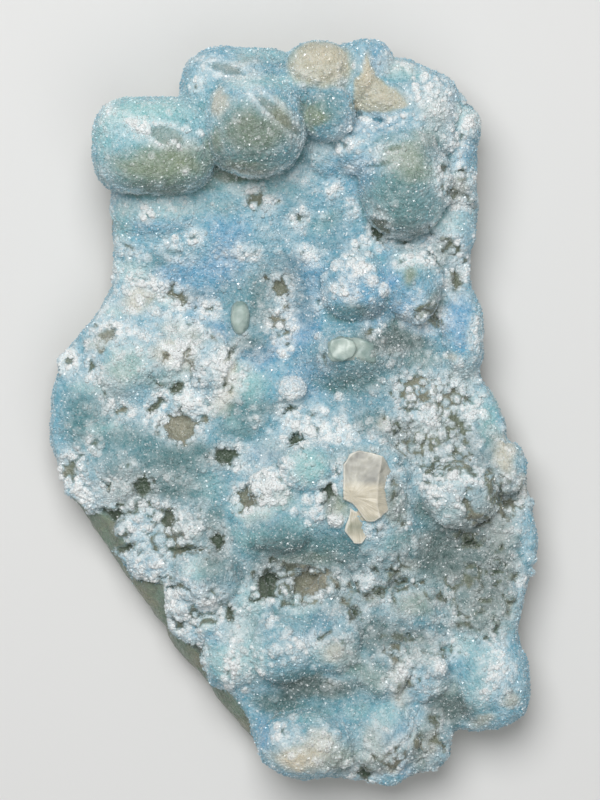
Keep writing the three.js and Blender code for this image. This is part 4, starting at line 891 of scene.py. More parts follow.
# painted shade: dark grey-teal where the crust lies in shade, below domes, in grooves, along the nodules'
# lower edges and in the lower right corner
paintedShadeSpots = [
    (1.6, -24.0, 3.0, 0.8, 0.45), (-0.4, 10.9, 1.4, 1.6, 0.25), (9.6, -1.4, 1.6, 1.2, 0.3),
    (15.4, -16.3, 2.0, 1.6, 0.3), (19.3, -13.2, 1.2, 2.4, 0.3), (14.0, -26.0, 1.6, 1.4, 0.3),
    (-5.3, 6.0, 1.4, 1.2, 0.3), (-7.9, 3.4, 1.0, 1.0, 0.25), (2.0, -24.2, 3.6, 0.9, 0.5),
    (-1.6, -25.4, 2.2, 0.8, 0.4), (9.8, 19.0, 2.4, 2.4, 0.35), (9.0, -1.6, 1.8, 1.4, 0.3),
    (-3.0, 24.0, 3.4, 2.6, 0.15), (6.8, -1.0, 2.4, 1.1, 0.35), (-2.2, 0.6, 1.2, 0.8, 0.4),
    (16.4, -2.4, 1.8, 2.6, 0.35), (13.8, -10.4, 2.4, 1.3, 0.35), (18.2, -14.4, 1.6, 2.0, 0.3),
    (4.6, -14.2, 2.2, 1.0, 0.35), (-9.2, -9.4, 1.6, 1.0, 0.25), (6.0, -20.2, 4.4, 1.2, 0.25),
    (13.8, -28.0, 1.4, 2.6, 0.35), (-6.4, 22.2, 1.0, 1.2, 0.3), (10.2, 5.0, 2.6, 1.2, 0.3),
    (-0.4, 12.6, 1.6, 1.8, 0.25), (7.0, 1.2, 3.4, 1.6, 0.3), (16.0, -8.4, 2.8, 2.4, 0.3),
    (-12.0, -6.6, 4.6, 1.6, 0.25), (-3.6, 24.4, 3.2, 2.6, 0.2), (17.4, -12.6, 2.6, 4.0, 0.25),
    (8.0, -13.0, 4.0, 1.2, 0.25), (3.0, 17.0, 1.2, 1.0, 0.25), (-9.6, -11.0, 2.0, 1.4, 0.25),
    (-3.6, 24.0, 2.8, 2.0, 0.25), (12.2, 23.0, 1.7, 1.4, 0.35), (13.4, -3.6, 4.6, 2.2, 0.3),
    (15.0, -12.6, 3.6, 3.4, 0.3), (-7.0, -12.5, 1.5, 3.4, 0.3), (1.5, -15.0, 4.6, 2.6, 0.3),
    (8.6, -19.6, 3.4, 2.4, 0.3), (2.0, -24.0, 3.4, 1.0, 0.9), (12.4, -28.6, 1.6, 2.8, 0.35),
    (-0.6, 12.6, 1.4, 1.4, 0.25), (-9.2, 10.6, 2.0, 0.7, 0.5), (-2.6, 11.6, 1.0, 1.6, 0.4),
    (12.6, 23.2, 1.6, 1.2, 0.3), (8.8, 7.4, 3.0, 1.0, 0.4), (5.4, 3.2, 2.4, 0.8, 0.3),
    (-9.8, -3.2, 3.4, 1.4, 0.3), (9.8, -11.8, 2.0, 1.8, 0.4), (15.6, -14.2, 2.0, 1.4, 0.5),
    (4.6, -16.6, 1.6, 0.9, 0.4), (8.4, -19.2, 1.4, 1.2, 0.5), (13.6, -18.4, 1.6, 1.0, 0.4),
    (-5.2, -13.8, 1.2, 1.4, 0.4), (-2.8, 9.4, 1.3, 1.8, 0.5), (0.8, 9.4, 1.0, 2.2, 0.4),
    (-4.8, 6.2, 1.5, 0.8, 0.5), (8.2, 6.4, 3.2, 1.2, 0.8), (14.0, -12.6, 3.4, 2.4, 0.7),
    (17.0, -10.4, 2.4, 2.0, 0.5), (-12.6, -4.8, 3.4, 1.0, 0.4), (-7.2, -13.8, 1.2, 2.0, 0.4),
    (1.4, -13.2, 4.0, 0.9, 0.4), (2.4, -23.6, 1.8, 0.6, 0.7), (-0.4, -24.8, 1.8, 0.6, 0.7),
    (-2.6, -26.2, 1.2, 0.6, 0.5), (13.0, -26.4, 1.8, 1.3, 0.6), (10.6, -30.2, 1.6, 1.2, 0.6),
    (16.8, -4.6, 1.2, 1.6, 0.4), (12.2, -19.6, 1.8, 0.8, 0.4), (9.0, -7.4, 0.9, 2.3, 0.8),
    (3.1, -7.4, 0.6, 1.4, 0.8), (13.4, -11.6, 2.3, 2.0, 0.8), (15.6, -9.6, 1.5, 1.2, 0.6),
    (17.8, -13.6, 1.7, 2.0, 0.8), (18.6, -6.8, 1.4, 1.8, 0.7), (15.4, -14.6, 1.7, 1.2, 0.7),
    (16.8, -16.8, 2.4, 1.8, 0.7), (13.0, -16.2, 1.6, 0.8, 0.6), (15.0, -18.6, 2.0, 0.7, 0.5),
    (10.0, -19.7, 2.2, 0.6, 0.5), (7.0, -19.0, 1.3, 1.6, 0.5), (7.0, -16.4, 1.0, 0.8, 0.4),
    (14.0, -26.2, 1.8, 1.3, 0.8), (11.6, -29.2, 0.9, 1.9, 0.7), (7.2, -31.2, 1.6, 0.8, 0.8),
    (9.8, 6.3, 2.6, 0.9, 0.8), (7.4, 6.6, 1.4, 0.7, 0.7), (-10.0, 10.4, 1.2, 0.5, 0.5),
    (-3.2, 5.6, 1.6, 1.2, 0.5), (-15.6, -5.4, 1.6, 1.0, 0.5), (-13.4, -6.4, 1.2, 0.8, 0.6),
    (-6.4, -3.6, 1.5, 0.8, 0.5), (-11.6, -6.6, 2.2, 0.8, 0.4), (-7.0, -9.6, 0.9, 1.5, 0.5),
    (-7.0, -12.0, 1.0, 1.4, 0.6), (-2.4, -14.0, 1.8, 1.6, 0.7), (0.9, -14.9, 1.8, 1.2, 0.6),
    (-0.6, -12.6, 2.8, 0.7, 0.5), (4.6, -12.8, 2.0, 0.6, 0.4), (8.8, -14.6, 1.4, 1.0, 0.6),
    (5.2, -17.6, 0.9, 0.9, 0.5), (-8.8, -21.0, 0.9, 1.2, 0.5), (-12.4, -16.6, 1.4, 1.2, 0.5),
    (-16.0, -9.6, 1.4, 0.9, 0.5), (9.5, -24.4, 1.0, 1.4, 0.5), (9.4, 15.8, 2.2, 1.0, 0.6),
    (7.3, 16.6, 0.8, 1.2, 0.6), (13.2, 14.4, 1.0, 1.4, 0.5), (14.4, 11.6, 0.9, 1.2, 0.5),
    (12.6, 9.8, 1.0, 1.2, 0.5), (6.6, 9.2, 1.8, 0.7, 0.6), (-4.0, 21.2, 3.0, 0.5, 0.6),
    (-11.6, 19.9, 4.0, 0.4, 0.5), (-1.0, -11.6, 3.0, 0.8, 0.5), (11.4, -8.4, 1.0, 1.2, 0.6),
    (14.2, 20.0, 1.1, 1.4, 0.5), (4.2, -31.0, 1.4, 0.8, 0.4), (14.4, -2.2, 1.4, 2.4, 0.4),
    (11.0, -2.4, 1.6, 1.4, 0.4), (7.0, 4.4, 2.2, 0.7, 0.4), (11.6, -12.6, 1.2, 1.8, 0.6),
]
sageSpots = [
    (3.9, -8.7, 1.0, 0.9, 0.6), (-11.6, 21.6, 4.8, 1.9, 0.9), (-9.2, 22.4, 1.8, 1.6, 0.6),
    (-3.4, 24.3, 3.2, 2.0, 0.95), (-1.2, 25.8, 1.1, 1.5, 0.8), (-6.8, 23.4, 0.7, 1.2, 0.7),
    (-4.6, 21.2, 2.8, 0.6, 1.0), (1.8, 25.8, 0.9, 1.1, 0.9), (9.4, 22.6, 2.3, 1.5, 0.8),
    (10.8, 21.0, 1.7, 1.3, 0.7), (11.4, 24.0, 1.6, 0.9, 0.5), (10.2, 12.0, 0.8, 1.0, 0.8),
    (-0.9, -7.4, 1.2, 1.2, 0.5), (3.4, -7.6, 0.8, 1.8, 0.9), (10.6, -16.8, 1.9, 1.3, 0.5),
    (-9.4, -10.4, 1.2, 0.8, 0.3), (11.2, 5.0, 1.8, 1.0, 0.4), (-4.2, 26.6, 1.6, 1.0, 0.4),
    (9.0, -8.0, 1.0, 2.0, 0.6), (12.4, 10.0, 1.0, 1.4, 0.5), (-14.8, 4.4, 1.6, 1.6, 0.3),
    (1.0, -12.8, 2.6, 0.7, 0.7), (16.6, -17.4, 2.8, 2.4, 0.5), (18.0, -12.6, 2.0, 2.4, 0.4),
    (11.2, -21.0, 2.0, 1.4, 0.4), (5.0, -21.6, 1.2, 1.8, 0.4), (7.0, -23.2, 1.6, 1.6, 0.5),
    (4.4, -30.4, 1.6, 1.0, 0.5), (7.4, -30.6, 1.4, 0.8, 0.7), (11.4, -29.0, 0.9, 2.0, 0.6),
    (-6.4, 0.4, 1.2, 0.8, 0.5), (6.6, 5.6, 1.0, 1.0, 0.5), (8.6, 7.4, 1.4, 1.2, 0.4),
    (14.4, -14.0, 1.6, 1.2, 0.3), (-6.2, 18.2, 1.4, 0.8, 0.2), (13.0, 14.6, 1.0, 1.6, 0.4),
    (-17.6, 20.4, 0.8, 1.4, 0.4),
]

# how relief and openings steer the colours, with white tops and painted highlight on crests and painted
# shade in hollows; ranges are in millimetres of relief, the rest are shares
paint = {
    "crest": (0.0, 0.05),
    "hollow": (0.03, 0.3),
    "steep": (0.1, 0.5),  # how far up a face looks
    "wander": ((2.4, 0.6, 1.6), (0.8, 0.35, 0.6)),  # size, reach, and more reach on steep sides
    "whiteAll": 0.3,
    "crestWhiteAndHighlight": 0.6,
    "whiteFringe": 0.65,
    "whiteBeads": 0.85,
    "whiteCrevices": 0.12,
    "hollowShadeOnWhite": -0.3,
    "scarBare": 0.8,
    # white is lost under painted shade
    "whiteLostInPaintedShade": 0.7,
    "scarCream": 0.75,
    "scarSage": 0.7,
    "sides": 0.2,  # of the cream and sage spots on steep sides
    "hollowShadeTeal": 0.5,
    "hollowShadeDark": 0.25,
}


# how far each vertex stands over the mean of its surroundings
def reliefOf(mesh, rounds):
    points, normals = getPoints(mesh), getNormals(mesh)
    mean = np.stack([spreadOut(mesh, points[:, axis], rounds) for axis in range(3)], 1)
    return ((points - mean) * normals).sum(1)


def paintPlate(mesh):
    points, normals, fields = surveyPlate(mesh)
    inside, onBead, scar = fields["inside"], fields["onBead"], fields["scar"]
    steep = 1 - smoothStep(normals[:, 2], *paint["steep"])[:, None]
    at = points[:, :2]
    for (size, reach, more), seed in zip(paint["wander"], (12, 22)):
        at = at + (reach + more * steep) * wanderAt(points, size, seed)
    # crest: the white tops of bumps, partly painted highlight; hollow: where painted shade goes
    crest = smoothStep(reliefOf(mesh, 4), *paint["crest"])
    hollow = smoothStep(-reliefOf(mesh, 28), *paint["hollow"])
    blotch = 0.5 + 0.5 * noiseAt(points, 1.3, 71)
    # painted shade, which also takes white away
    paintedShade = spotsAt(at, paintedShadeSpots)
    white = spotsAt(at, whiteSpots) * (paint["whiteAll"] + paint["crestWhiteAndHighlight"] * crest)
    white += paint["whiteFringe"] * fields["fringe"] * blotch
    white = np.maximum(white, paint["whiteBeads"] * beadTones[fields["bead"]] * onBead)
    # hollows lose white: painted shade
    white += paint["whiteCrevices"] * spotsAt(at, bareAreas) + paint["hollowShadeOnWhite"] * hollow
    white = np.clip(white, 0, 1) * (1 - inside) * (1 - paint["scarBare"] * scar)
    onTop = paint["sides"] + (1 - paint["sides"]) * (1 - steep[:, 0])
    setMask(mesh, "white", white * (1 - paint["whiteLostInPaintedShade"] * paintedShade))
    setMask(mesh, "cream", np.maximum(spotsAt(at, creamSpots), paint["scarCream"] * scar) * onTop)
    setMask(mesh, "sky", spotsAt(at, skySpots))
    setMask(mesh, "aqua", spotsAt(at, aquaSpots))
    setMask(mesh, "sage", np.maximum(spotsAt(at, sageSpots), paint["scarSage"] * scar) * onTop)
    setMask(mesh, "paintedShade", paintedShade)
    # teal in hollows is painted shade
    setMask(mesh, "teal", np.clip(spotsAt(at, tealSpots) + paint["hollowShadeTeal"] * hollow, 0, 1))
    setMask(mesh, "floor", inside * np.clip(2.4 * fields["depth"], 0, 1))
    # the floors' own tone, darker in hollows as painted shade
    dark = fields["tone"] * inside + paint["hollowShadeDark"] * hollow * inside
    setMask(mesh, "dark", np.clip(dark, 0, 1))
    setMask(mesh, "rock", 1 - fields["crust"])


# the bare rock at the sides and the back is thinned first
def thinned(mesh):
    rock = readMask(mesh, "rock")
    thinning = {
        "ratio": plate["triangles"] / (2 * len(mesh.polygons)),
        "use_collapse_triangulate": True,
        "vertex_group": "weight",
        "vertex_group_factor": 4.0,
    }
    return withModifiers(mesh, ("DECIMATE", thinning), weights=np.where(rock > 0.9, 1.0, 0.05))


print("painting the plate")
paintPlate(skin)
skin = thinned(skin)


class Graph:
    def __init__(self, tree):
        self.tree = tree

    def node(self, kind, **settings):
        made = self.tree.nodes.new(kind)
        for key, value in settings.items():
            if key in made.inputs:
                made.inputs[key].default_value = value
            else:
                setattr(made, key, value)
        return made

    def link(self, source, target):
        self.tree.links.new(source, target)

    # a value or another node's output into each socket
    def fill(self, sockets, values):
        for socket, value in zip(sockets, values):
            if isinstance(value, bpy.types.NodeSocket):
                self.link(value, socket)
            else:
                socket.default_value = value

    # first colour, second colour and how much of the second
    def mix(self, first, second, share):
        made = self.node("ShaderNodeMix", data_type="RGBA")
        self.fill((made.inputs[6], made.inputs[7], made.inputs[0]), (first, second, share))
        return made.outputs[2]

    def math(self, operation, first, second=0.0, clamp=False):
        made = self.node("ShaderNodeMath", operation=operation, use_clamp=clamp)
        self.fill(made.inputs, (first, second))
        return made.outputs[0]

    # what a value has over a level, times a gain, kept between 0 and 1
    def over(self, value, level, gain):
        return self.math("MULTIPLY", self.math("SUBTRACT", value, level), gain, clamp=True)

    # a value less a share of another
    def less(self, value, other, share, clamp=False):
        return self.math("SUBTRACT", value, self.math("MULTIPLY", other, share), clamp=clamp)

    def mask(self, name):
        return self.node("ShaderNodeAttribute", attribute_name=name).outputs["Fac"]

    def noise(self, place, **settings):
        made = self.node("ShaderNodeTexNoise", **settings)
        self.link(place, made.inputs["Vector"])
        return made.outputs["Fac"]

    def group(self, tree, place, **settings):
        made = self.node("ShaderNodeGroup", node_tree=tree, **settings)
        self.link(place, made.inputs["Vector"])
        return made.outputs

    def split(self, place):
        made = self.node("ShaderNodeSeparateXYZ")
        self.link(place, made.inputs[0])
        return made.outputs

    def bump(self, shader, height, strength, distance):
        made = self.node("ShaderNodeBump", Strength=strength, Distance=distance)
        self.link(height, made.inputs["Height"])
        self.link(made.outputs["Normal"], shader.inputs["Normal"])


# sRGB from 0 to 255 to the linear colour that the shaders take
def colour(red, green, blue):
    parts = [value / 255 for value in (red, green, blue)]
    return tuple(p / 12.92 if p <= 0.04045 else ((p + 0.055) / 1.055) ** 2.4 for p in parts) + (1.0,)


def newGroup(name, inputs, outputs):
    tree = bpy.data.node_groups.new(name, "ShaderNodeTree")
    for direction, sockets in (("INPUT", inputs), ("OUTPUT", outputs)):
        for label, kind in sockets.items():
            tree.interface.new_socket(label, in_out=direction, socket_type="NodeSocket" + kind)
    graph = Graph(tree)
    return graph, graph.node("NodeGroupInput").outputs, graph.node("NodeGroupOutput").inputs


def newMaterial(name, finish):
    material = bpy.data.materials.new(name)
    material.use_nodes = True
    graph = Graph(material.node_tree)
    shader = material.node_tree.nodes["Principled BSDF"]
    for label, value in finish.items():
        shader.inputs[label].default_value = value
    place = graph.node("ShaderNodeTexCoord").outputs["Object"]
    return material, graph, shader, place


# sugary grains: a height for the bump and a mask of single bright grains
def makeGrainGroup():
    inputs, outputs = {"Vector": "Vector", "Scale": "Float"}, {"Height": "Float", "Speck": "Float"}
    graph, inside, out = newGroup("sugarGrain", inputs, outputs)
    cells = graph.node("ShaderNodeTexVoronoi", feature="F1")
    clouds = graph.node("ShaderNodeTexNoise", Detail=3.0, Roughness=0.6)
    for texture in (cells, clouds):
        graph.link(inside["Vector"], texture.inputs["Vector"])
        graph.link(inside["Scale"], texture.inputs["Scale"])
    height = graph.math("SUBTRACT", 1.0, cells.outputs["Distance"])
    graph.link(graph.math("ADD", height, clouds.outputs["Fac"]), out["Height"])
    split = graph.node("ShaderNodeSeparateColor")
    graph.link(cells.outputs["Color"], split.inputs["Color"])
    graph.link(graph.over(split.outputs[0], 0.72, 4.0), out["Speck"])
    return graph.tree


# the crust's colours; green, brown and darkGreen are the windows' floors
palette = {
    "blue": colour(112, 173, 194),
    "sky": colour(96, 161, 200),
    "teal": colour(80, 130, 134),
    "aqua": colour(146, 198, 199),
    "sage": colour(136, 146, 110),
    # the colour of painted shade
    "paintedShade": colour(83, 106, 103),
    "white": colour(243, 248, 248),
    "cream": colour(214, 203, 178),
    "green": colour(128, 136, 118),
    "brown": colour(170, 163, 145),
    "darkGreen": colour(66, 84, 66),
    "rockGreen": colour(112, 138, 120),
    "rockTan": colour(138, 142, 122),
    "clouds": {"Scale": 1500.0, "Detail": 5.0, "Roughness": 0.7},
    "patches": {"Scale": 180.0, "Detail": 3.0, "Roughness": 0.6},
    "contrast": (0.4, 3.0),  # level and gain of both
    "tealPatches": 0.25,
    "bloom": 0.43,  # the white haze of fine grains
    "bloomLost": 0.27,  # where the crust is teal or sage
    "whiteLost": 0.25,
}


# the crust's colour from the masks that a piece carries, painted shade among them
def makeTintGroup():
    graph, inside, out = newGroup("druseTint", {"Vector": "Vector"}, {"Color": "Color"})
    cloudy = graph.over(graph.noise(inside["Vector"], **palette["clouds"]), *palette["contrast"])
    patchy = graph.over(graph.noise(inside["Vector"], **palette["patches"]), *palette["contrast"])
    tint = graph.mix(palette["blue"], palette["sky"], graph.mask("sky"))
    for name in ("teal", "aqua", "sage", "cream", "paintedShade"):
        tint = graph.mix(tint, palette[name], graph.mask(name))
    tint = graph.mix(tint, palette["teal"], graph.math("MULTIPLY", patchy, palette["tealPatches"]))
    calm = graph.math("MAXIMUM", graph.mask("teal"), graph.mask("sage"))
    bloom = graph.less(palette["bloom"], calm, palette["bloomLost"])
    strong = graph.less(1.0, graph.mask("teal"), palette["whiteLost"])
    strong = graph.math("MULTIPLY", graph.mask("white"), strong)
    whiter = graph.math("ADD", strong, graph.math("MULTIPLY", cloudy, bloom), clamp=True)
    tint = graph.mix(tint, palette["white"], whiter)
    floor = graph.mix(palette["green"], palette["brown"], patchy)
    floor = graph.mix(floor, palette["darkGreen"], graph.mask("dark"))
    graph.link(graph.mix(tint, floor, graph.mask("floor")), out["Color"])
    return graph.tree


grainGroup = makeGrainGroup()
tintGroup = makeTintGroup()

# the crust and the rock under it; scales are per metre, distances in metres
druseFinish = {
    "fineGrain": 6500.0,
    "coarseGrain": 2600.0,
    "coarseShare": 1.6,
    "bump": 0.7,
    "bumpDistance": 0.00011,
    "rockPatches": {"Scale": 260.0, "Detail": 6.0, "Roughness": 0.65},
    "patchContrast": (0.42, 5.0),  # level and gain
    "rockFlecks": {"Scale": 1100.0, "Detail": 4.0, "Roughness": 0.7},
    "fleckContrast": (0.48, 5.0),
    "fleckShare": 0.5,
    "glints": 0.12,
    "roughness": 0.62,
    "glintPolish": 0.35,
    "floorPolish": 0.2,
    "shader": {
        "Subsurface Weight": 0.12,
        "Subsurface Radius": (0.5, 0.8, 1.0),
        "Subsurface Scale": 0.0008,
        "IOR": 1.61,
        "Sheen Weight": 0.3,
        "Sheen Roughness": 0.4,
    },
}


def makeDruse():
    finish = druseFinish
    material, graph, shader, place = newMaterial("blueDruse", finish["shader"])
    tint = graph.group(tintGroup, place)["Color"]
    grain = graph.group(grainGroup, place, Scale=finish["fineGrain"])
    coarse = graph.group(grainGroup, place, Scale=finish["coarseGrain"])
    patches = graph.over(graph.noise(place, **finish["rockPatches"]), *finish["patchContrast"])
    flecks = graph.over(graph.noise(place, **finish["rockFlecks"]), *finish["fleckContrast"])
    rock = graph.mix(palette["rockGreen"], palette["rockTan"], patches)
    rock = graph.mix(rock, palette["darkGreen"], graph.math("MULTIPLY", flecks, finish["fleckShare"]))
    base = graph.mix(tint, palette["white"], graph.math("MULTIPLY", grain["Speck"], finish["glints"]))
    graph.link(graph.mix(base, rock, graph.mask("rock")), shader.inputs["Base Color"])
    rough = graph.less(finish["roughness"], grain["Speck"], finish["glintPolish"])
    rough = graph.less(rough, graph.mask("floor"), finish["floorPolish"])
    graph.link(rough, shader.inputs["Roughness"])
    coarseHeight = graph.math("MULTIPLY", coarse["Height"], finish["coarseShare"])
    height = graph.math("ADD", grain["Height"], coarseHeight)
    graph.bump(shader, height, finish["bump"], finish["bumpDistance"])
    return material


print("making the materials")
druse = makeDruse()


def finishPiece(name, mesh, material, slot, *nodes):
    mesh.transform(Matrix.Scale(mm, 4))
    mesh.materials.clear()
    mesh.materials.append(material)
    mesh.shade_smooth()
    piece = meshObject(name, mesh)
    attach(piece, "root")
    if nodes:
        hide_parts(*nodes)
    return piece


# rotation matrices from random quaternions
def randomTurns(count):
    q = dice.normal(size=(count, 4))
    w, x, y, z = (q / np.linalg.norm(q, axis=1)[:, None]).T
    return np.stack([
        np.stack([1 - 2 * (y * y + z * z), 2 * (x * y - w * z), 2 * (x * z + w * y)], 1),
        np.stack([2 * (x * y + w * z), 1 - 2 * (x * x + z * z), 2 * (y * z - w * x)], 1),
        np.stack([2 * (x * z - w * y), 2 * (y * z + w * x), 1 - 2 * (x * x + y * y)], 1),
    ], 1)


# what is strewn over the crust: how many, how large, and how deep they sit in radii
sugar = {
    "pieces": 2,
    "perPiece": 46000,
    "radius": (0.05, 0.14),
    "stretch": (0.8, 1.3),
    "sunk": 0.0,
    "whiter": 0.0,
}
spherules = {
    "pieces": 1,
    "perPiece": 8600,
    "radius": (0.13, 0.3),
    "stretch": (0.85, 1.15),
    "sunk": 0.35,
    "whiter": 0.3,
}
carriedMasks = ("white", "cream", "teal", "sky", "aqua", "sage", "paintedShade", "floor", "dark")


def sugarShape(bm):
    bmesh.ops.create_cone(bm, cap_ends=True, segments=3, radius1=1.0, radius2=0.0, depth=1.5)


def spheruleShape(bm):
    bmesh.ops.create_icosphere(bm, subdivisions=1, radius=1.0)


# small shapes on a mesh, with its masks; more of them where the liking is high
def strewOver(mesh, name, settings, addShape, liking, material):
    points, normals = getPoints(mesh), getNormals(mesh)
    mesh.calc_loop_triangles()
    corners = fetch(mesh.loop_triangles, "vertices", 3, np.int32)
    a, b, c = (points[corners[:, i]] for i in range(3))
    weight = np.linalg.norm(np.cross(b - a, c - a), axis=1) * liking[corners].mean(1)
    each = settings["perPiece"]
    total = each * settings["pieces"]
    chosen = corners[dice.choice(len(corners), total, p=weight / weight.sum())]
    shares = dice.dirichlet((1, 1, 1), total)
    sizes = between(settings["radius"], dice.random(total) ** 2)
    places = (points[chosen] * shares[:, :, None]).sum(1)
    places -= (normals[chosen] * shares[:, :, None]).sum(1) * (settings["sunk"] * sizes)[:, None]
    radii = sizes[:, None] * dice.uniform(*settings["stretch"], (total, 3))
    turns = randomTurns(total)
    masks = {mask: (readMask(mesh, mask)[chosen] * shares).sum(1) for mask in carriedMasks}
    masks["white"] = np.clip(masks["white"] + settings["whiter"] * dice.random(total), 0, 1)
    masks["glint"] = dice.random(total) ** 4
    pieces = []
    for number in range(settings["pieces"]):
        part = slice(number * each, (number + 1) * each)
        bm = bmesh.new()
        addShape(bm)
        strewn = repeated(name, bm, places[part], radii[part], turns[part])
        for mask, values in masks.items():
            setMask(strewn, mask, np.repeat(values[part], len(strewn.vertices) // each))
        pieces.append(finishPiece(f"{name}_{number + 1}", strewn, material, "blue_druse"))
    return pieces


sugarFinish = {
    "glints": 0.85,
    "roughness": 0.5,
    "clouds": 2500.0,
    "shader": {
        "IOR": 1.61,
        "Specular IOR Level": 0.8,
        "Sheen Weight": 0.3,
        "Sheen Roughness": 0.4,
    },
}


def makeSugarMaterial():
    finish = sugarFinish
    material, graph, shader, place = newMaterial("sugarCrystal", finish["shader"])
    tint = graph.group(tintGroup, place)["Color"]
    glint = graph.math("MULTIPLY", graph.mask("glint"), finish["glints"])
    graph.link(graph.mix(tint, palette["white"], glint), shader.inputs["Base Color"])
    clouds = graph.noise(place, Scale=finish["clouds"], Detail=2.0)
    graph.link(graph.math("MULTIPLY", clouds, finish["roughness"]), shader.inputs["Roughness"])
    return material


print("strewing sugar crystals and fine spherules")
crusty = (1 - readMask(skin, "rock")) * (1 - 0.85 * readMask(skin, "floor"))
for piece in strewOver(skin, "sugar_crystals", sugar, sugarShape, crusty, makeSugarMaterial()):
    piece.data.shade_flat()
whitish = crusty * (0.02 + readMask(skin, "white") ** 1.5)
strewOver(skin, "fine_spherules", spherules, spheruleShape, whitish, druse)
finishPiece("blue_druse_crust", skin, druse, "blue_druse", "druse_plate")


# the three separate crystals: their shapes in millimetres, their patterns in metres
crystals = {
    "voxel": 0.08,
    "roughening": 0.12,
    "edgeHighlight": (0.008, 0.03),  # relief at which an edge gets a painted highlight
    "edgeHighlightShare": 0.8,
    "block": {  # the taller left half of the tabular crystal
        "middle": (4.2, 5.75, 8.9),
        "radii": (1.35, 1.12),
        "height": 1.15,
        "taper": 0.93,
        "step": 0.15,  # how much lower the right half lies
    },
}

creamFinish = {
    "smoothing": 1,
    "cloudLow": colour(152, 152, 146),
    "cloudHigh": colour(208, 206, 192),
    "silkLow": colour(180, 174, 155),
    "silkHigh": colour(220, 213, 194),
    "bladeGreen": colour(140, 146, 128),
    # colour of the painted highlight on convex edges
    "edge": colour(232, 228, 216),
    "fold": -0.0064,  # fibres below this y, clouds above it
    "foldSharpness": 1600.0,
    "bladeTop": -0.0098,  # the y of a greenish band
    "bladeSharpness": -900.0,
    "bladeShare": 0.8,
    "streaks": (0.3, 2.2),  # level and gain
    "streaksLeast": 0.2,
    "clouds": (0.36, 3.0),
    "fibreCentre": (0.00504, -0.0072, 0.0),
    "bump": 0.6,
    "bumpDistance": 0.00006,
    "roughness": 0.55,
    "cloudPolish": 0.25,
    "shader": {
        "IOR": 1.61,
        "Subsurface Weight": 0.25,
        "Subsurface Radius": (1.0, 0.95, 0.8),
        "Subsurface Scale": 0.001,
    },
}

paleFinish = {
    "smoothing": 5,
    "low": colour(132, 155, 150),
    "high": colour(200, 212, 203),
    "fibreCentre": (0.0, 0.03, 0.0),
    "clouds": (0.34, 2.6),
    "blockSide": 0.0052,  # the tabular crystal is darker to the right of this x
    "blockSharpness": 700.0,
    "darker": 0.6,
    "bump": 0.4,
    "bumpDistance": 0.00006,
    "roughness": 0.5,
    "cloudPolish": 0.2,
    "shader": {
        "IOR": 1.61,
        "Subsurface Weight": 0.4,
        "Subsurface Radius": (0.85, 1.0, 0.9),
        "Subsurface Scale": 0.0012,
    },
}


# fine fibres that fan out from a point, and soft clouds
def makeFibreGroup():
    inputs, outputs = {"Vector": "Vector", "Centre": "Vector"}, {"Fibres": "Float", "Clouds": "Float"}
    graph, inside, out = newGroup("silkFibres", inputs, outputs)
    away = graph.node("ShaderNodeVectorMath", operation="SUBTRACT")
    graph.fill(away.inputs, (inside["Vector"], inside["Centre"]))
    x, y, _ = graph.split(away.outputs[0])
    angle = graph.math("ARCTAN2", y, x)
    squared = graph.math("ADD", graph.math("MULTIPLY", x, x), graph.math("MULTIPLY", y, y))
    fan = graph.node("ShaderNodeCombineXYZ")
    graph.link(graph.math("MULTIPLY", angle, 22.0), fan.inputs["X"])
    graph.link(graph.math("MULTIPLY", graph.math("SQRT", squared), 900.0), fan.inputs["Y"])
    graph.link(graph.noise(fan.outputs[0], Scale=1.0, Detail=4.0, Roughness=0.6), out["Fibres"])
    clouds = graph.noise(inside["Vector"], Scale=420.0, Detail=4.0, Roughness=0.6, Distortion=0.6)
    graph.link(clouds, out["Clouds"])
    return graph.tree


fibreGroup = makeFibreGroup()


def makeCreamCrystal():
    finish = creamFinish
    material, graph, shader, place = newMaterial("creamCrystal", finish["shader"])
    silk = graph.group(fibreGroup, place, Centre=finish["fibreCentre"])
    height = graph.split(place)["Y"]
    above = graph.over(height, finish["fold"], finish["foldSharpness"])
    streaks = graph.over(silk["Fibres"], *finish["streaks"])
    streaks = graph.math("ADD", streaks, finish["streaksLeast"], clamp=True)
    mottle = graph.over(silk["Clouds"], *finish["clouds"])
    away = graph.math("SUBTRACT", finish["bladeTop"], height)
    away = graph.math("ABSOLUTE", graph.math("MULTIPLY", away, finish["bladeSharpness"]))
    band = graph.math("SUBTRACT", 1.0, away, clamp=True)
    lower = graph.mix(finish["silkLow"], finish["silkHigh"], streaks)
    lower = graph.mix(lower, finish["bladeGreen"], graph.math("MULTIPLY", band, finish["bladeShare"]))
    upper = graph.mix(finish["cloudLow"], finish["cloudHigh"], mottle)
    # convex edges are lightened: painted highlight
    whole = graph.mix(graph.mix(lower, upper, above), finish["edge"], graph.mask("edge"))
    graph.link(whole, shader.inputs["Base Color"])
    graph.bump(shader, silk["Fibres"], finish["bump"], finish["bumpDistance"])
    rough = graph.less(finish["roughness"], mottle, finish["cloudPolish"])
    graph.link(rough, shader.inputs["Roughness"])
    return material


def makePaleCrystal():
    finish = paleFinish
    material, graph, shader, place = newMaterial("paleCrystal", finish["shader"])
    silk = graph.group(fibreGroup, place, Centre=finish["fibreCentre"])
    right = graph.over(graph.split(place)["X"], finish["blockSide"], finish["blockSharpness"])
    mottle = graph.over(silk["Clouds"], *finish["clouds"])
    pale = graph.less(mottle, right, finish["darker"], clamp=True)
    graph.link(graph.mix(finish["low"], finish["high"], pale), shader.inputs["Base Color"])
    graph.bump(shader, silk["Clouds"], finish["bump"], finish["bumpDistance"])
    rough = graph.less(finish["roughness"], mottle, finish["cloudPolish"])
    graph.link(rough, shader.inputs["Roughness"])
    return material


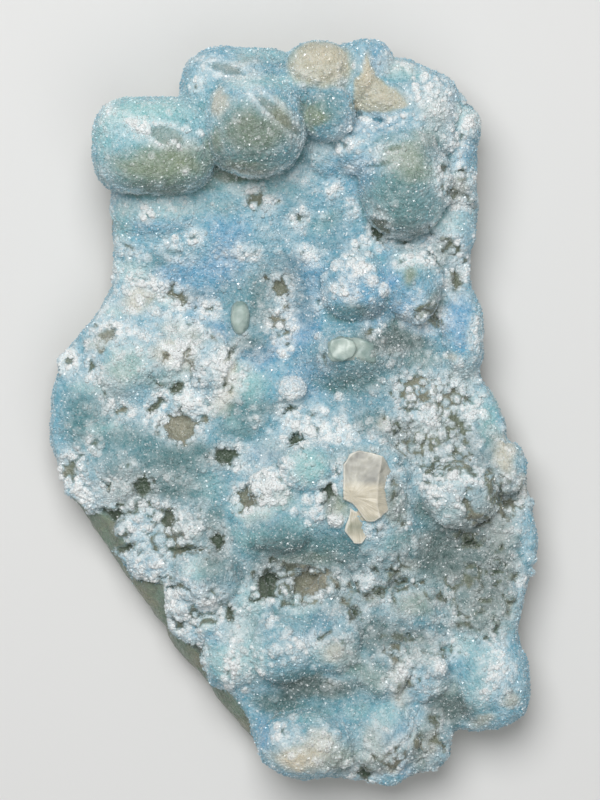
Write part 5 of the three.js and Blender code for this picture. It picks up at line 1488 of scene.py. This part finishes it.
# an eight-sided block over the left half, and the right half a little lower
def addBlock(bm):
    block = crystals["block"]
    x, y, z = block["middle"]
    for vert in bm.verts:
        vert.co.z -= block["step"] * (vert.co.x > x and vert.co.z > z)
    cone = bmesh.ops.create_cone(bm, cap_ends=True, segments=8, radius1=1, radius2=block["taper"],
                                 depth=block["height"])
    bmesh.ops.scale(bm, vec=(*block["radii"], 1), verts=cone["verts"])
    bmesh.ops.translate(bm, vec=block["middle"], verts=cone["verts"])


def makeCrystal(node, name, slot, material, smoothing):
    bm = nodeCopy(node)
    if node == "pale_tabular_crystal":
        addBlock(bm)
    mesh = withModifiers(fromBmesh(name, bm), remeshed(crystals["voxel"]), smoothed(smoothing))
    # convex edges carry a painted highlight
    setMask(mesh, "edge", crystals["edgeHighlightShare"] * smoothStep(reliefOf(mesh, 6), *crystals["edgeHighlight"]))
    points, normals = getPoints(mesh), getNormals(mesh)
    x, y, _ = (points - np.array(creamFinish["fibreCentre"]) / mm).T
    fan = np.stack([8 * np.arctan2(y, x), 0.3 * np.hypot(x, y), 0 * x], 1)
    rough = noiseAt(points, 1.2, 81) + 0.5 * noiseAt(points, 0.5, 82) + 0.5 * noiseAt(fan, 1.0, 83)
    setPoints(mesh, points + normals * (crystals["roughening"] * (rough - 0.1))[:, None])
    finishPiece(name, mesh, material, slot, node)


print("cutting the single crystals")
creamCrystal, paleCrystal = makeCreamCrystal(), makePaleCrystal()
creamSoft, paleSoft = creamFinish["smoothing"], paleFinish["smoothing"]
makeCrystal("cream_bladed_crystal", "cream_crystal", "cream_crystal", creamCrystal, creamSoft)
makeCrystal("pale_tabular_crystal", "tabular_crystal", "pale_crystal", paleCrystal, paleSoft)
makeCrystal("pale_oval_crystal", "oval_crystal", "pale_crystal", paleCrystal, paleSoft)


# floor, lights and camera, in metres
studio = {
    "floorSize": 1.2,
    "floor": {"Base Color": (0.72, 0.72, 0.71, 1), "Roughness": 0.7},
    "sky": {"Color": (1, 1, 1, 1), "Strength": 0.21},
    "lights": {  # place, width and power
        "key": ((-0.045, 0.125, 0.31), 0.24, 0.93),
        "fill": ((0.1, -0.2, 0.45), 0.4, 0.5),
    },
    "lens": 180.0,
    "clip": (0.01, 10),
    "pixelsPerMetre": 11400.0,
    "imageHeight": 800,
    "planeHeight": 0.0085,  # where the scale is true
    "centre": (0.00048, 0.00127),
}


def makeFloor():
    bm = bmesh.new()
    bmesh.ops.create_grid(bm, x_segments=1, y_segments=1, size=studio["floorSize"] / 2)
    floor = meshObject("floor", fromBmesh("floor", bm))
    material, *_ = newMaterial("paleFloor", studio["floor"])
    floor.data.materials.append(material)


def makeLight(name, place, size, power):
    light = bpy.data.lights.new(name, "AREA")
    light.shape = "DISK"
    light.size = size
    light.energy = power
    lamp = bpy.data.objects.new(name, light)
    lamp.location = place
    lamp.rotation_euler = (-Vector(place)).to_track_quat("-Z", "Y").to_euler()
    bpy.context.scene.collection.objects.link(lamp)


def makeSky():
    world = bpy.data.worlds.new("world")
    world.use_nodes = True
    for label, value in studio["sky"].items():
        world.node_tree.nodes["Background"].inputs[label].default_value = value
    bpy.context.scene.world = world


def makeCamera():
    data = bpy.data.cameras.new("camera")
    data.lens = studio["lens"]
    data.clip_start, data.clip_end = studio["clip"]
    camera = bpy.data.objects.new("camera", data)
    span = studio["imageHeight"] / studio["pixelsPerMetre"]
    away = span / data.sensor_width * data.lens
    camera.location = (*studio["centre"], studio["planeHeight"] + away)
    bpy.context.scene.collection.objects.link(camera)
    bpy.context.scene.camera = camera


print("setting the stage")
makeFloor()
for name, values in studio["lights"].items():
    makeLight(name, *values)
makeSky()
makeCamera()
bpy.context.scene.view_settings.view_transform = "Standard"
